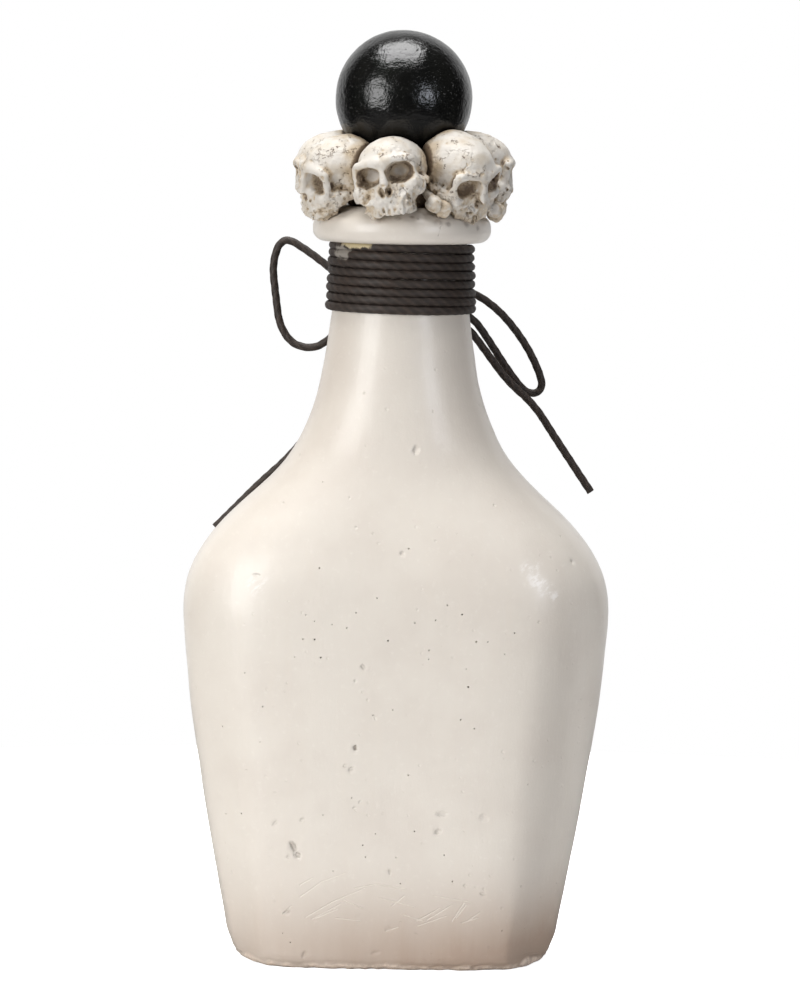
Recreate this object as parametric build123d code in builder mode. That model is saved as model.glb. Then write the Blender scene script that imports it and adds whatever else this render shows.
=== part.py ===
"""A corked poison bottle: a cast flask with a bound neck, its stopper ringed with skulls.

The frame stands on the table. +Z is up, the front faces -Y, and the origin is the
middle of the foot. Every size is in millimetres.
"""

import math
import os

from build123d import *

os.makedirs("parts", exist_ok=True)

# The flask
bottle_height = 140.0
belly_height = 65.0
neck_foot_height = 121.0
body_width = 79.2
body_depth = 44.0
base_width = 60.4
base_depth = 36.0
neck_foot_width = 25.2
neck_top_width = 24.0
foot_round = 3.0
wall = 3.6
floor = 5.0
bore_width = 17.2

# How squared off a level section is: 2 is an ellipse, more is nearer a rectangle
body_squareness = 3.3
neck_squareness = 2.0

# Height as a share of the belly's, then how far the size has gone from base to belly
body_shares = ((0.38, 0.46), (0.74, 0.84))
# Height from belly to neck as a share, then how much of the body's extra size is left
shoulder_shares = (
    (0.06, 0.99),
    (0.12, 0.97),
    (0.18, 0.91),
    (0.24, 0.83),
    (0.30, 0.72),
    (0.36, 0.59),
    (0.42, 0.45),
    (0.48, 0.33),
    (0.54, 0.24),
    (0.62, 0.165),
    (0.72, 0.09),
    (0.85, 0.04),
)

# The lip round the mouth
lip_width = 33.0
lip_height = 6.6
lip_top_width = 25.0
lip_widest_share = 0.34
lip_bend_share = 0.70
lip_bend_width_share = 0.95

# The cork, and the collar of casting resin that beds the skulls on it
cork_depth = 22.0
cork_tip_width = 15.4
cork_top_width = 17.6
cork_play = 0.1
cork_edge = 0.8
collar_thickness = 1.6
glue_gap = 0.1

# The ball on top, and the dowel that holds it on the cork
ball_width = 25.4
ball_height = 159.85
dowel_width = 4.0
dowel_bite = 6.0

# One skull, all of them cast in the same mould
skull_width = 13.0
skull_length = 15.0
skull_height = 14.2
crown_share = 0.47
forehead_width = 10.4
face_width = 9.8
face_depth = 6.4
face_bow_share = 0.3
face_back_share = 0.7
jaw_width = 8.8
jaw_depth = 4.8
eye_width = 4.4
eye_height = 3.6
eye_spacing = 5.8
eye_depth = 3.2
eye_rim = 0.6
brow_setback = 2.8
brow_width = 7.0
chin_setback = 0.6
eye_slant = 12
eye_round_share = 0.42
nose_width = 2.2
nose_height = 2.6
nose_depth = 1.8
temple_width = 9.8
temple_radius = 3.4
cheek_height = 1.3
cheek_width = 11.8
cheek_thickness = 1.1
# How far back the cheek arch starts and swings out, in its own thicknesses
cheek_start_share = 2
cheek_swing_share = 4
palate_depth = 1.4
tooth_gap = 0.3
tooth_height = 1.6
tooth_count = 6

# The ring of skulls. Azimuths run from the front towards +X, a tilt lifts the +X eye,
# and a nod draws the chin in. Each skull sits a little below the ring's own height.
skull_ring_width = 25.6
skull_middle_height = 147.2
skull_drops = (1.0, 0.1, 0, 0.4, 0.1, 0.3, 0.9)
skull_azimuths = (-9, 50, 100, 151, 202, 252, 300)
skull_turns = (-4, -1, 5, -5, 6, 3, -6)
skull_tilts = (12, 11, 3, -6, 5, -3, -18)
skull_nods = (1, 26, 10, 14, -2, 12, 10)
skull_gap = 0.3
seat_gap = 0.3

# Two bone ends that stick out between the jaws
bone_width = 2.3
knuckle_width = 3.2
knuckle_spread_share = 0.7
bone_azimuths = (25, 75)
bone_slants = (-20, -15)
bone_reaches = (17.4, 19.2)
# Their roots on the collar, and how steeply they droop over the edge of the lip
bone_height = 143.2
bone_droop = 28

# The cord: bound round the neck, then tied in a bow behind it
cord_width = 1.5
cord_sides = 6
turns = 7
turn_pitch = 1.62
turn_gap = 0.42
winding_clearance = 0.1
lip_clearance = 0.05
knot_width = 5.6
knot_depth = 4.2
knot_height = 6.4
knot_middle_height = 120.6
knot_round = 1.3
knot_clearance = 0.3
band_width = 2.4
band_rise = 0.5
strand_spacing = 2.1
# How much of the shorter side beside it a bend of the bow may use
bend_share = 0.45

# One length for every cut that has to run past what it cuts
overrun = 30.0


def ring_point(half_width, half_depth, squareness, degrees):
    """A point of the squared-off ellipse."""
    across = math.cos(math.radians(degrees))
    along = math.sin(math.radians(degrees))
    power = 2 / squareness
    x = math.copysign(half_width * abs(across) ** power, across)
    y = math.copysign(half_depth * abs(along) ** power, along)
    return (x, y)


def level_section(height, half_width, half_depth, squareness):
    """Draws a level section from eight arcs: four bowed sides and four corners."""
    ends = (-25, 25, 65, 115, 155, 205, 245, 295, 335)
    with BuildSketch(Plane.XY.offset(height)) as section:
        with BuildLine():
            for first, last in zip(ends[:-1], ends[1:]):
                ThreePointArc(
                    ring_point(half_width, half_depth, squareness, first),
                    ring_point(half_width, half_depth, squareness, (first + last) / 2),
                    ring_point(half_width, half_depth, squareness, last),
                )
        make_face()
    return section.sketch


# Each station of the flask: height, half width, half depth, squareness
stations = []
for degrees in (0, 45, 90):
    lift = foot_round * (1 - math.cos(math.radians(degrees)))
    inset = foot_round * (1 - math.sin(math.radians(degrees)))
    stations.append((lift, base_width / 2 - inset, base_depth / 2 - inset, body_squareness))
for height_share, size_share in body_shares:
    stations.append(
        (
            foot_round + height_share * (belly_height - foot_round),
            base_width / 2 + size_share * (body_width - base_width) / 2,
            base_depth / 2 + size_share * (body_depth - base_depth) / 2,
            body_squareness,
        )
    )
stations.append((belly_height, body_width / 2, body_depth / 2, body_squareness))
for height_share, size_share in shoulder_shares:
    stations.append(
        (
            belly_height + height_share * (neck_foot_height - belly_height),
            neck_foot_width / 2 + size_share * (body_width - neck_foot_width) / 2,
            neck_foot_width / 2 + size_share * (body_depth - neck_foot_width) / 2,
            neck_squareness + size_share * (body_squareness - neck_squareness),
        )
    )
stations.append((neck_foot_height, neck_foot_width / 2, neck_foot_width / 2, neck_squareness))
lip_low = bottle_height - lip_height
stations.append((lip_low, neck_top_width / 2, neck_top_width / 2, neck_squareness))

# The inside follows every second station of the outside, a wall's thickness in
bore_radius = bore_width / 2
inner_stations = [
    (floor, base_width / 2 - wall, base_depth / 2 - wall, body_squareness),
]
for height, half_width, half_depth, squareness in stations[3:-3:2]:
    inner_stations.append((height, half_width - wall, half_depth - wall, squareness))
inner_stations.append((neck_foot_height, bore_radius, bore_radius, neck_squareness))

with BuildPart() as bottle:
    for station in stations:
        add(level_section(*station))
    loft(ruled=True)
    # The lip: a tight round below, a long slope above
    lip_root = neck_top_width / 2 - wall / 2
    lip_under = (lip_width / 2 - lip_height * lip_widest_share, lip_low)
    lip_widest = (lip_width / 2, lip_low + lip_height * lip_widest_share)
    lip_bend = (lip_width / 2 * lip_bend_width_share, lip_low + lip_height * lip_bend_share)
    lip_rim = (lip_top_width / 2, bottle_height)
    with BuildSketch(Plane.XZ):
        with BuildLine():
            Line((lip_root, lip_low), lip_under)
            TangentArc(lip_under, lip_widest, tangent=(1, 0))
            TangentArc(lip_widest, lip_bend, tangent=(0, 1))
            Polyline(lip_bend, lip_rim, (lip_root, bottle_height), (lip_root, lip_low))
        make_face()
    revolve(axis=Axis.Z)
    # The inside
    for station in inner_stations:
        add(level_section(*station))
    loft(ruled=True, mode=Mode.SUBTRACT)
    with BuildSketch(Plane.XY.offset(neck_foot_height)):
        Circle(bore_radius)
    extrude(amount=bottle_height - neck_foot_height, mode=Mode.SUBTRACT)
bottle.part.label = "bottle"
export_step(bottle.part, "parts/bottle.step")

# The cork: tight in the mouth, tapered below it, and standing proud to carry the ball
ball_radius = ball_width / 2
cork_top = ball_height - ball_radius - glue_gap
cork_low = bottle_height - cork_depth
cork_mouth_radius = bore_radius - cork_play
cork_top_radius = cork_top_width / 2
with BuildPart() as cork:
    with BuildSketch(Plane.XZ):
        with BuildLine():
            Polyline(
                (0, cork_low),
                (cork_tip_width / 2 - cork_edge, cork_low),
                (cork_tip_width / 2, cork_low + cork_edge),
                (cork_mouth_radius, bottle_height),
                (cork_top_radius, cork_top),
                (0, cork_top),
                close=True,
            )
        make_face()
    revolve(axis=Axis.Z)
    with BuildSketch(Plane.XY.offset(cork_top)):
        Circle(dowel_width / 2 + glue_gap / 2)
    extrude(amount=-dowel_bite, mode=Mode.SUBTRACT)
cork.part.label = "cork"
export_step(cork.part, "parts/cork.step")

# The collar of resin round the cork, dished for the ball
collar_low = bottle_height
collar_radius = cork_top_radius + glue_gap + collar_thickness
with BuildPart() as collar:
    with BuildSketch(Plane.XY.offset(collar_low)):
        Circle(collar_radius)
        Circle(cork_top_radius + glue_gap, mode=Mode.SUBTRACT)
    extrude(amount=skull_middle_height - collar_low)
    with Locations((0, 0, ball_height)):
        Sphere(ball_radius + glue_gap, mode=Mode.SUBTRACT)
collar.part.label = "resin_collar"
export_step(collar.part, "parts/resin_collar.step")

with BuildPart() as ball:
    with Locations((0, 0, ball_height)):
        Sphere(ball_radius)
    with BuildSketch(Plane.XY.offset(ball_height - ball_radius)):
        Circle(dowel_width / 2 + glue_gap / 2)
    extrude(amount=dowel_bite, mode=Mode.SUBTRACT)
ball.part.label = "ball"
export_step(ball.part, "parts/ball.step")

with BuildPart() as dowel:
    with BuildSketch(Plane.XY.offset(cork_top - dowel_bite)):
        Circle(dowel_width / 2)
    extrude(amount=ball_height - ball_radius + dowel_bite - (cork_top - dowel_bite))
dowel.part.label = "dowel"
export_step(dowel.part, "parts/dowel.step")

# One skull as it leaves the mould: its middle at the origin, its face towards -Y
brow_front = -skull_length / 2
brain_radius = skull_width / 2
forehead_radius = forehead_width / 2
jaw_low = -skull_height * (1 - crown_share)
face_top = eye_height / 2 + eye_rim
cheek_level = -eye_height / 2 - cheek_height / 2
front = Plane.XZ.offset(-brow_front)
with BuildPart() as mould:
    # The braincase is an egg on its side: three arcs, each tangent to the next,
    # turned about the line from brow to nape
    nape_middle = skull_length / 2 - brain_radius
    brow_middle = brow_front + forehead_radius
    between = nape_middle - brow_middle
    side_radius = (brain_radius**2 + between**2 - forehead_radius**2) / (skull_width - forehead_width)
    inward = Vector(side_radius - brain_radius, brow_middle - nape_middle)
    meeting = Vector(0, brow_middle) + inward.normalized() * forehead_radius
    with BuildSketch(Plane.XY):
        with BuildLine():
            RadiusArc((0, skull_length / 2), (brain_radius, nape_middle), -brain_radius)
            egg_side = TangentArc((brain_radius, nape_middle), meeting, tangent=(0, -1))
            TangentArc(meeting, (0, brow_front), tangent=egg_side % 1)
            Line((0, brow_front), (0, skull_length / 2))
        make_face()
    revolve(axis=Axis.Y)
    # Temple hollows behind the eyes
    with Locations(
        (temple_width / 2 + temple_radius, brow_middle - eye_rim, 0),
        (-temple_width / 2 - temple_radius, brow_middle - eye_rim, 0),
    ):
        Sphere(temple_radius, mode=Mode.SUBTRACT)
    # The face, bowed forwards, from the brow down to the teeth
    brow_level = (face_top + skull_height * crown_share) / 2
    face_sections = (
        (brow_level, brow_width, face_depth, brow_setback),
        (face_top, face_width, face_depth, 0),
        (cheek_level, face_width, face_depth, 0),
        (jaw_low, jaw_width, jaw_depth, chin_setback),
    )
    for level, width, depth, setback in face_sections:
        face_front = brow_front + setback
        face_side = face_front + width * face_bow_share
        face_back = brow_front + depth
        with BuildSketch(Plane.XY.offset(level)):
            with BuildLine():
                ThreePointArc((-width / 2, face_side), (0, face_front), (width / 2, face_side))
                Polyline(
                    (width / 2, face_side),
                    (width / 2 * face_back_share, face_back),
                    (-width / 2 * face_back_share, face_back),
                    (-width / 2, face_side),
                )
            make_face()
    loft(ruled=True)
    # Cheek arches
    with BuildSketch(Plane.XY.offset(cheek_level - cheek_height / 2)):
        with BuildLine():
            cheek_front = (
                face_width / 2 - cheek_thickness,
                brow_front + cheek_start_share * cheek_thickness,
            )
            cheek_back = (cheek_width / 2, brow_front + face_depth)
            cheek_middle = (cheek_width / 2, brow_front + cheek_swing_share * cheek_thickness)
            Bezier(cheek_front, cheek_middle, cheek_back)
            Line(cheek_back, (cheek_width / 2 - cheek_thickness, cheek_back[1]))
            Line(
                (cheek_width / 2 - cheek_thickness, cheek_back[1]),
                (cheek_front[0], cheek_front[1] + cheek_thickness),
            )
            Line((cheek_front[0], cheek_front[1] + cheek_thickness), cheek_front)
        make_face()
        mirror(about=Plane.YZ)
    extrude(amount=cheek_height)
    # Eye sockets
    with BuildSketch(front.offset(eye_rim)):
        for side in (-1, 1):
            with Locations(Location((side * eye_spacing / 2, 0), (0, 0, -side * eye_slant))):
                RectangleRounded(eye_width, eye_height, eye_height * eye_round_share)
    extrude(amount=-eye_depth - 2 * eye_rim, taper=eye_slant, mode=Mode.SUBTRACT)
    # The nose opening, narrow at its top
    nose_low = cheek_level - cheek_height / 2 - nose_height / 2
    with BuildSketch(front.offset(eye_rim)):
        with BuildLine():
            Polyline(
                (-nose_width / 2, nose_low),
                (-nose_width / 4, nose_low + nose_height),
                (nose_width / 4, nose_low + nose_height),
                (nose_width / 2, nose_low),
                close=True,
            )
        make_face()
    extrude(amount=-nose_depth - eye_rim, mode=Mode.SUBTRACT)
    # The roof of the mouth, and the gaps between the upper teeth
    with BuildSketch(Plane.XY.offset(jaw_low)):
        with Locations((0, brow_front + jaw_depth)):
            RectangleRounded(jaw_width - 2 * palate_depth, jaw_depth, palate_depth / 2)
    extrude(amount=palate_depth, mode=Mode.SUBTRACT)
    tooth_pitch = jaw_width / tooth_count
    with BuildSketch(Plane.XY.offset(jaw_low)):
        with Locations((0, brow_front)):
            with GridLocations(tooth_pitch, 0, tooth_count - 1, 1):
                Rectangle(tooth_gap, 2 * palate_depth)
    extrude(amount=tooth_height, mode=Mode.SUBTRACT)

# The space that the lip and the collar need, which the skulls stand clear of
with BuildPart() as seat:
    with BuildSketch(Plane.XZ):
        with BuildLine():
            Polyline(
                (0, lip_low),
                (lip_width / 2 + seat_gap, lip_low),
                (lip_width / 2 + seat_gap, lip_widest[1]),
                (lip_bend[0] + seat_gap, lip_bend[1] + seat_gap),
                (lip_rim[0] + seat_gap, bottle_height + seat_gap),
                (collar_radius + glue_gap, bottle_height + seat_gap),
                (collar_radius + glue_gap, skull_middle_height),
                (0, skull_middle_height),
                close=True,
            )
        make_face()
    revolve(axis=Axis.Z)
    with Locations((0, 0, ball_height)):
        Sphere(ball_radius + glue_gap)

# Each skull keeps to its own share of the ring
skulls = []
ring_radius = skull_ring_width / 2
skull_count = len(skull_azimuths)
for number in range(skull_count):
    azimuth = skull_azimuths[number]
    before = skull_azimuths[number - 1] - (360 if number == 0 else 0)
    after = skull_azimuths[(number + 1) % skull_count] + (360 if number == skull_count - 1 else 0)
    low_side = math.radians((before + azimuth) / 2)
    high_side = math.radians((azimuth + after) / 2)
    middle_side = (low_side + high_side) / 2
    tip = skull_gap / 2 / math.sin((high_side - low_side) / 2)
    out = math.radians(azimuth)
    turned = math.radians(azimuth + skull_turns[number])
    place = Plane(
        origin=(
            ring_radius * math.sin(out),
            -ring_radius * math.cos(out),
            skull_middle_height - skull_drops[number],
        ),
        x_dir=(math.cos(turned), math.sin(turned), 0),
    )
    lean = Location((0, 0, 0), (skull_nods[number], -skull_tilts[number], 0))
    with BuildPart() as skull:
        with Locations(place.location * lean):
            add(mould.part)
        add(seat.part, mode=Mode.SUBTRACT)
        with BuildSketch():
            with BuildLine():
                Polyline(
                    (tip * math.sin(middle_side), -tip * math.cos(middle_side)),
                    (
                        tip * math.sin(middle_side) + overrun * math.sin(low_side),
                        -tip * math.cos(middle_side) - overrun * math.cos(low_side),
                    ),
                    (
                        tip * math.sin(middle_side) + overrun * math.sin(high_side),
                        -tip * math.cos(middle_side) - overrun * math.cos(high_side),
                    ),
                    close=True,
                )
            make_face()
        extrude(amount=skull_middle_height + skull_height, mode=Mode.INTERSECT)
    name = f"skull_{number + 1}"
    skull.part.label = name
    skulls.append(skull.part)
    export_step(skull.part, f"parts/{name}.step")

# Bone ends: a shaft from the collar and two knuckles side by side
with BuildPart() as bones:
    droop = math.radians(bone_droop)
    root = collar_radius + glue_gap
    for azimuth, slant, reach in zip(bone_azimuths, bone_slants, bone_reaches):
        out = math.radians(azimuth)
        tilt = math.radians(slant)
        outward = Vector(math.sin(out) * math.cos(droop), -math.cos(out) * math.cos(droop), -math.sin(droop))
        level = Vector(math.cos(out), math.sin(out), 0)
        rising = outward.cross(level)
        shaft = Plane(
            origin=(root * math.sin(out), -root * math.cos(out), bone_height),
            x_dir=level * math.cos(tilt) + rising * math.sin(tilt),
            z_dir=outward,
        )
        length = (reach - knuckle_width / 2 - root) / math.cos(droop)
        with BuildSketch(shaft):
            Circle(bone_width / 2)
        extrude(amount=length)
        with Locations(shaft.offset(length)):
            with GridLocations(knuckle_width * knuckle_spread_share, 0, 2, 1):
                Sphere(knuckle_width / 2)
    add([seat.part] + skulls, mode=Mode.SUBTRACT)
bones.part.label = "bone_ends"
export_step(bones.part, "parts/bone_ends.step")

# The winding: half circles that climb half a pitch each, behind - front - behind.
# The neck narrows upwards, and so does the winding.
tube_width = turn_pitch - turn_gap
tube_radius = tube_width / 2
winding_high = lip_low - lip_clearance - tube_radius
winding_low = winding_high - turns * turn_pitch
low_radius = neck_foot_width / 2 + winding_clearance + tube_radius
high_radius = neck_top_width / 2 + winding_clearance + tube_radius
half_turns = 2 * turns
corners = []
for step in range(half_turns + 1):
    radius = low_radius + (high_radius - low_radius) * step / half_turns
    side = 1 if step % 2 == 0 else -1
    corners.append((0, side * radius, winding_low + step * turn_pitch / 2))
with BuildPart() as winding:
    with BuildLine() as winding_path:
        Line((-tube_width, corners[0][1], winding_low), corners[0])
        for first, last in zip(corners[:-1], corners[1:]):
            reach = (abs(first[1]) + abs(last[1])) / 2
            sideways = math.copysign(reach, first[1])
            middle = (sideways, (first[1] + last[1]) / 2, (first[2] + last[2]) / 2)
            ThreePointArc(first, middle, last)
        Line(corners[-1], (tube_width, corners[-1][1], winding_high))
    winding_wire = winding_path.wires()[0]
    with BuildSketch(Plane(origin=winding_wire @ 0, z_dir=winding_wire % 0)):
        RegularPolygon(tube_radius, cord_sides)
    sweep(path=winding_wire)
winding.part.label = "neck_winding"
export_step(winding.part, "parts/neck_winding.step")

# The winding's least gap to itself, measured on points a sixteenth of a turn apart
point_count = 16 * turns + 1
points = [winding_wire @ (index / (point_count - 1)) for index in range(point_count)]
least = min(
    (points[first] - points[last]).length
    for first in range(point_count)
    for last in range(first + 8, point_count)
)
print("winding gap to itself", round(least - tube_width, 3))
print("winding length", round(winding_wire.length, 1))

# The knot of the bow, with a band round its middle
knot_front = low_radius + tube_radius + knot_clearance
knot_middle_depth = knot_front + knot_depth / 2
with BuildPart() as knot:
    with Locations((0, knot_middle_depth, knot_middle_height)):
        Box(knot_width, knot_depth, knot_height)
    fillet(knot.edges().filter_by(Axis.X), knot_round)
    with BuildSketch(Plane.XY.offset(knot_middle_height)):
        with Locations((0, knot_middle_depth + band_rise / 2)):
            Rectangle(band_width, knot_depth + band_rise)
    extrude(amount=knot_height / 2 + band_rise, both=True)
    fillet(knot.edges().filter_by(Axis.X).group_by(Axis.Z)[0], knot_round)
    fillet(knot.edges().filter_by(Axis.X).group_by(Axis.Z)[-1], knot_round)
knot.part.label = "bow_knot"
export_step(knot.part, "parts/bow_knot.step")


def cord_radii(name, points):
    """The largest arc that each corner of a cord's route has room for."""
    corners = [Vector(*point) for point in points]
    radii = []
    for before, corner, after in zip(corners, corners[1:], corners[2:]):
        coming = corner - before
        going = after - corner
        half_turn = math.radians(coming.get_angle(going)) / 2
        radii.append(bend_share * min(coming.length, going.length) / math.tan(half_turn))
    print(name, "radii", [round(radius, 1) for radius in radii])
    return radii


side = knot_width / 2
behind = knot_middle_depth
high = knot_middle_height + strand_spacing
middle = knot_middle_height
low = knot_middle_height - strand_spacing
bow = {
    "bow_loop_left": (
        (-side, behind, high),
        (-7.0, behind, high),
        (-12.0, 17.6, 126.6),
        (-17.6, 18.6, 130.8),
        (-22.4, 19.2, 133.6),
        (-24.4, 19.6, 128.6),
        (-23.6, 19.6, 122.2),
        (-22.8, 19.2, 116.4),
        (-19.8, 18.6, 112.6),
        (-14.4, 17.8, 112.6),
        (-8.2, behind, middle),
        (-side, behind, middle),
    ),
    "bow_loop_right": (
        (side, behind, high),
        (7.0, behind, high),
        (12.4, 17.6, 124.2),
        (18.2, 18.8, 120.6),
        (22.8, 19.8, 115.2),
        (25.8, 20.4, 110.0),
        (27.4, 20.8, 105.2),
        (24.2, 20.6, 104.0),
        (20.4, 20.0, 108.8),
        (17.0, 19.2, 114.0),
        (13.4, 18.0, 119.2),
        (7.6, behind, middle),
        (side, behind, middle),
    ),
    "bow_tail_right": (
        (side, behind, low),
        (7.0, behind, low),
        (12.4, 17.0, 117.4),
        (16.2, 17.2, 112.4),
        (20.4, 17.2, 106.8),
        (25.4, 17.4, 102.6),
        (29.2, 17.4, 96.8),
        (33.0, 17.2, 91.2),
        (36.4, 17.0, 86.2),
    ),
    "bow_tail_left": (
        (-side, behind, low),
        (-6.6, behind, low),
        (-9.6, 17.6, 112.8),
        (-11.6, 18.0, 106.0),
        (-15.2, 18.2, 98.8),
        (-20.4, 18.2, 92.0),
        (-26.4, 18.0, 86.6),
        (-31.0, 17.6, 81.8),
        (-34.4, 17.2, 78.4),
    ),
}
for name, points in bow.items():
    with BuildPart() as strand:
        with BuildLine() as strand_path:
            FilletPolyline(*points, radius=cord_radii(name, points))
        strand_wire = strand_path.wires()[0]
        with BuildSketch(Plane(origin=strand_wire @ 0, z_dir=strand_wire % 0)) as strand_section:
            RegularPolygon(cord_width / 2, cord_sides)
        sweep(path=strand_wire)
    strand.part.label = name
    whole = strand_section.sketch.area * strand_wire.length
    print(name, "length", round(strand_wire.length, 1), "volume share", round(strand.part.volume / whole, 4))
    export_step(strand.part, f"parts/{name}.step")
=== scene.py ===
# %% [markdown]
# # A poison bottle with a ring of small skulls
# The real thing is a hollow cast flask, painted cream, with waxed cord bound round its
# neck and tied in a bow behind. Its stopper is a cork with a ring of small cast skulls
# and a glossy black ball on top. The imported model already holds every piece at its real
# size, so this script only gives each piece its finished surface, and leaves each one
# where the model has it.

import math

import bpy
import numpy as np
from mathutils import Matrix, Vector
from mathutils.bvhtree import BVHTree


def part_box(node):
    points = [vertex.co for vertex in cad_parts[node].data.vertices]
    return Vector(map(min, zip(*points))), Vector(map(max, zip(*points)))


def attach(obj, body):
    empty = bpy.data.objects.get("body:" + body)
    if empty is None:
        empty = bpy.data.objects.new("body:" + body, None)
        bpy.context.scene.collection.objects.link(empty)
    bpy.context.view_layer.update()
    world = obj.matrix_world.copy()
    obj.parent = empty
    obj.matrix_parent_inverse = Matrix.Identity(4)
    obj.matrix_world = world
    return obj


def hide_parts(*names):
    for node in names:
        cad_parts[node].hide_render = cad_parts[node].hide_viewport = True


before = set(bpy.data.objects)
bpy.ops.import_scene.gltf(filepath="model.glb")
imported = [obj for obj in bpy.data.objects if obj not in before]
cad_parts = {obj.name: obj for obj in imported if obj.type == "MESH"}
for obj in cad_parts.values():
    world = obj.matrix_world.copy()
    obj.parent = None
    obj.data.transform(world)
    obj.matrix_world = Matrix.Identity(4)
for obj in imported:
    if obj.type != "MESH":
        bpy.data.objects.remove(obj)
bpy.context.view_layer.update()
mm = 0.001

# %% [markdown]
# ## The camera
# The photograph was taken with a long lens, a little above the middle of the bottle and
# looking slightly down. The lens comes from how much the foot's front edge sags below
# its corners. The camera's own axes are kept, because dents and pinholes are placed later
# by the pixel where the photograph shows them.

# %% The camera
photo_width = 800
photo_height = 997
focal_pixels = 5671.5
sensor_height = 36.0
camera_place = Vector((0, -1050, 168)) * mm
looking_down = math.atan2(80, 1050)
roll = math.radians(0.9)
aim_right = 0.00037
aim_down = 0.00215

forward = Vector((0, math.cos(looking_down), -math.sin(looking_down)))
level_up = Vector((0, math.sin(looking_down), math.cos(looking_down)))
level_right = Vector((1, 0, 0))
view_right = level_right * math.cos(roll) + level_up * math.sin(roll)
view_up = level_up * math.cos(roll) - level_right * math.sin(roll)
view_forward = (forward + view_right * aim_right - view_up * aim_down).normalized()
view_right = (view_right - view_forward * view_right.dot(view_forward)).normalized()
view_up = view_right.cross(view_forward)

camera_data = bpy.data.cameras.new("camera")
camera_data.sensor_fit = "VERTICAL"
camera_data.sensor_height = sensor_height
camera_data.lens = focal_pixels * sensor_height / photo_height
camera_data.clip_start = 0.05
camera_data.clip_end = 50
camera_data.dof.use_dof = False
camera = bpy.data.objects.new("camera", camera_data)
bpy.context.scene.collection.objects.link(camera)
camera_axes = Matrix((view_right, view_up, -view_forward)).transposed()
camera.matrix_world = Matrix.Translation(camera_place) @ camera_axes.to_4x4()
bpy.context.scene.camera = camera
bpy.context.scene.view_settings.view_transform = "Standard"
print("lens", round(camera_data.lens, 1), "mm")


def pixel_ray(pixel):
    """The direction from the camera through a pixel of the photograph."""
    across = pixel[0] - photo_width / 2
    down = pixel[1] - photo_height / 2
    return (view_forward * focal_pixels + view_right * across - view_up * down).normalized()


# %% [markdown]
# ## Nodes and meshes by script
# Two small helpers keep the material and geometry trees short: one adds a node and links
# or sets its inputs, the other turns arrays of points and faces into an object.

# %% Helpers for node trees
def put(tree, kind, inputs=None, **settings):
    """Adds a node, then links or sets each of its inputs."""
    made = tree.nodes.new(kind)
    for name, value in settings.items():
        setattr(made, name, value)
    for key, value in (inputs or {}).items():
        if isinstance(value, bpy.types.NodeSocket):
            tree.links.new(value, made.inputs[key])
        else:
            made.inputs[key].default_value = value
    return made


# %% Arithmetic in node trees
def calc(tree, operation, first, second=0.0):
    """One step of arithmetic in a node tree."""
    return put(tree, "ShaderNodeMath", {0: first, 1: second}, operation=operation).outputs[0]


def times(tree, first, second):
    """The product of two values."""
    return calc(tree, "MULTIPLY", first, second)


def plus(tree, first, second):
    """The sum of two values."""
    return calc(tree, "ADD", first, second)


def less(tree, first, second):
    """The first value less the second."""
    return calc(tree, "SUBTRACT", first, second)


def strongest(tree, values):
    """The largest of several values at each point."""
    most = values[0]
    for value in values[1:]:
        most = calc(tree, "MAXIMUM", most, value)
    return most


def vector_calc(tree, operation, first, second=(0, 0, 0), result="Vector"):
    """One step of arithmetic with places or directions."""
    made = put(tree, "ShaderNodeVectorMath", {0: first, 1: second}, operation=operation)
    return made.outputs[result]


def stretched(tree, vector, share):
    """A vector made longer or shorter."""
    made = put(tree, "ShaderNodeVectorMath", {0: vector, "Scale": share}, operation="SCALE")
    return made.outputs["Vector"]


# %% Blends, colours and noise in node trees
def rise(tree, value, low, high):
    """Goes smoothly from 0 to 1 as a value goes from low to high."""
    inputs = {"Value": value, "From Min": low, "From Max": high}
    made = put(tree, "ShaderNodeMapRange", inputs, interpolation_type="SMOOTHSTEP")
    return made.outputs["Result"]


def mix(tree, share, first, second, blend="MIX"):
    """Mixes two colours."""
    inputs = {0: share, 6: first, 7: second}
    return put(tree, "ShaderNodeMix", inputs, data_type="RGBA", blend_type=blend).outputs[2]


def glaze(tree, colour, share, strength, tint):
    """Lays a tint over a colour where a share says, up to a strength."""
    return mix(tree, times(tree, share, strength), colour, tint)


def noise(tree, place, width, detail=3.0, roughness=0.55, stretch=(1, 1, 1)):
    """Random shades, about as wide as width."""
    scaled = put(tree, "ShaderNodeMapping", {"Vector": place, "Scale": stretch}).outputs[0]
    inputs = {"Vector": scaled, "Scale": 1 / width, "Detail": detail, "Roughness": roughness}
    return put(tree, "ShaderNodeTexNoise", inputs).outputs[0]


def paint(red, green, blue):
    """A colour as it reads on screen, from 0 to 255, as the linear value that nodes hold."""
    shares = [value / 255 for value in (red, green, blue)]
    linear = [s / 12.92 if s < 0.04045 else ((s + 0.055) / 1.055) ** 2.4 for s in shares]
    return (*linear, 1.0)


def start_material(name):
    """An empty material with its shader, and the place of each point on the object."""
    made = bpy.data.materials.new(name)
    made.use_nodes = True
    tree = made.node_tree
    shader = tree.nodes["Principled BSDF"]
    place = put(tree, "ShaderNodeTexCoord").outputs["Object"]
    return made, tree, shader, place


def attribute(tree, name):
    """Reads a value that the mesh stores at each of its points."""
    return put(tree, "ShaderNodeAttribute", attribute_name=name).outputs["Fac"]


def raise_by(tree, shader, height, depth):
    """Bumps a shader's surface by a height between 0 and 1, at a depth in metres."""
    inputs = {"Height": height, "Distance": depth, "Strength": 1.0}
    bump = put(tree, "ShaderNodeBump", inputs).outputs[0]
    tree.links.new(bump, shader.inputs["Normal"])


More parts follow.
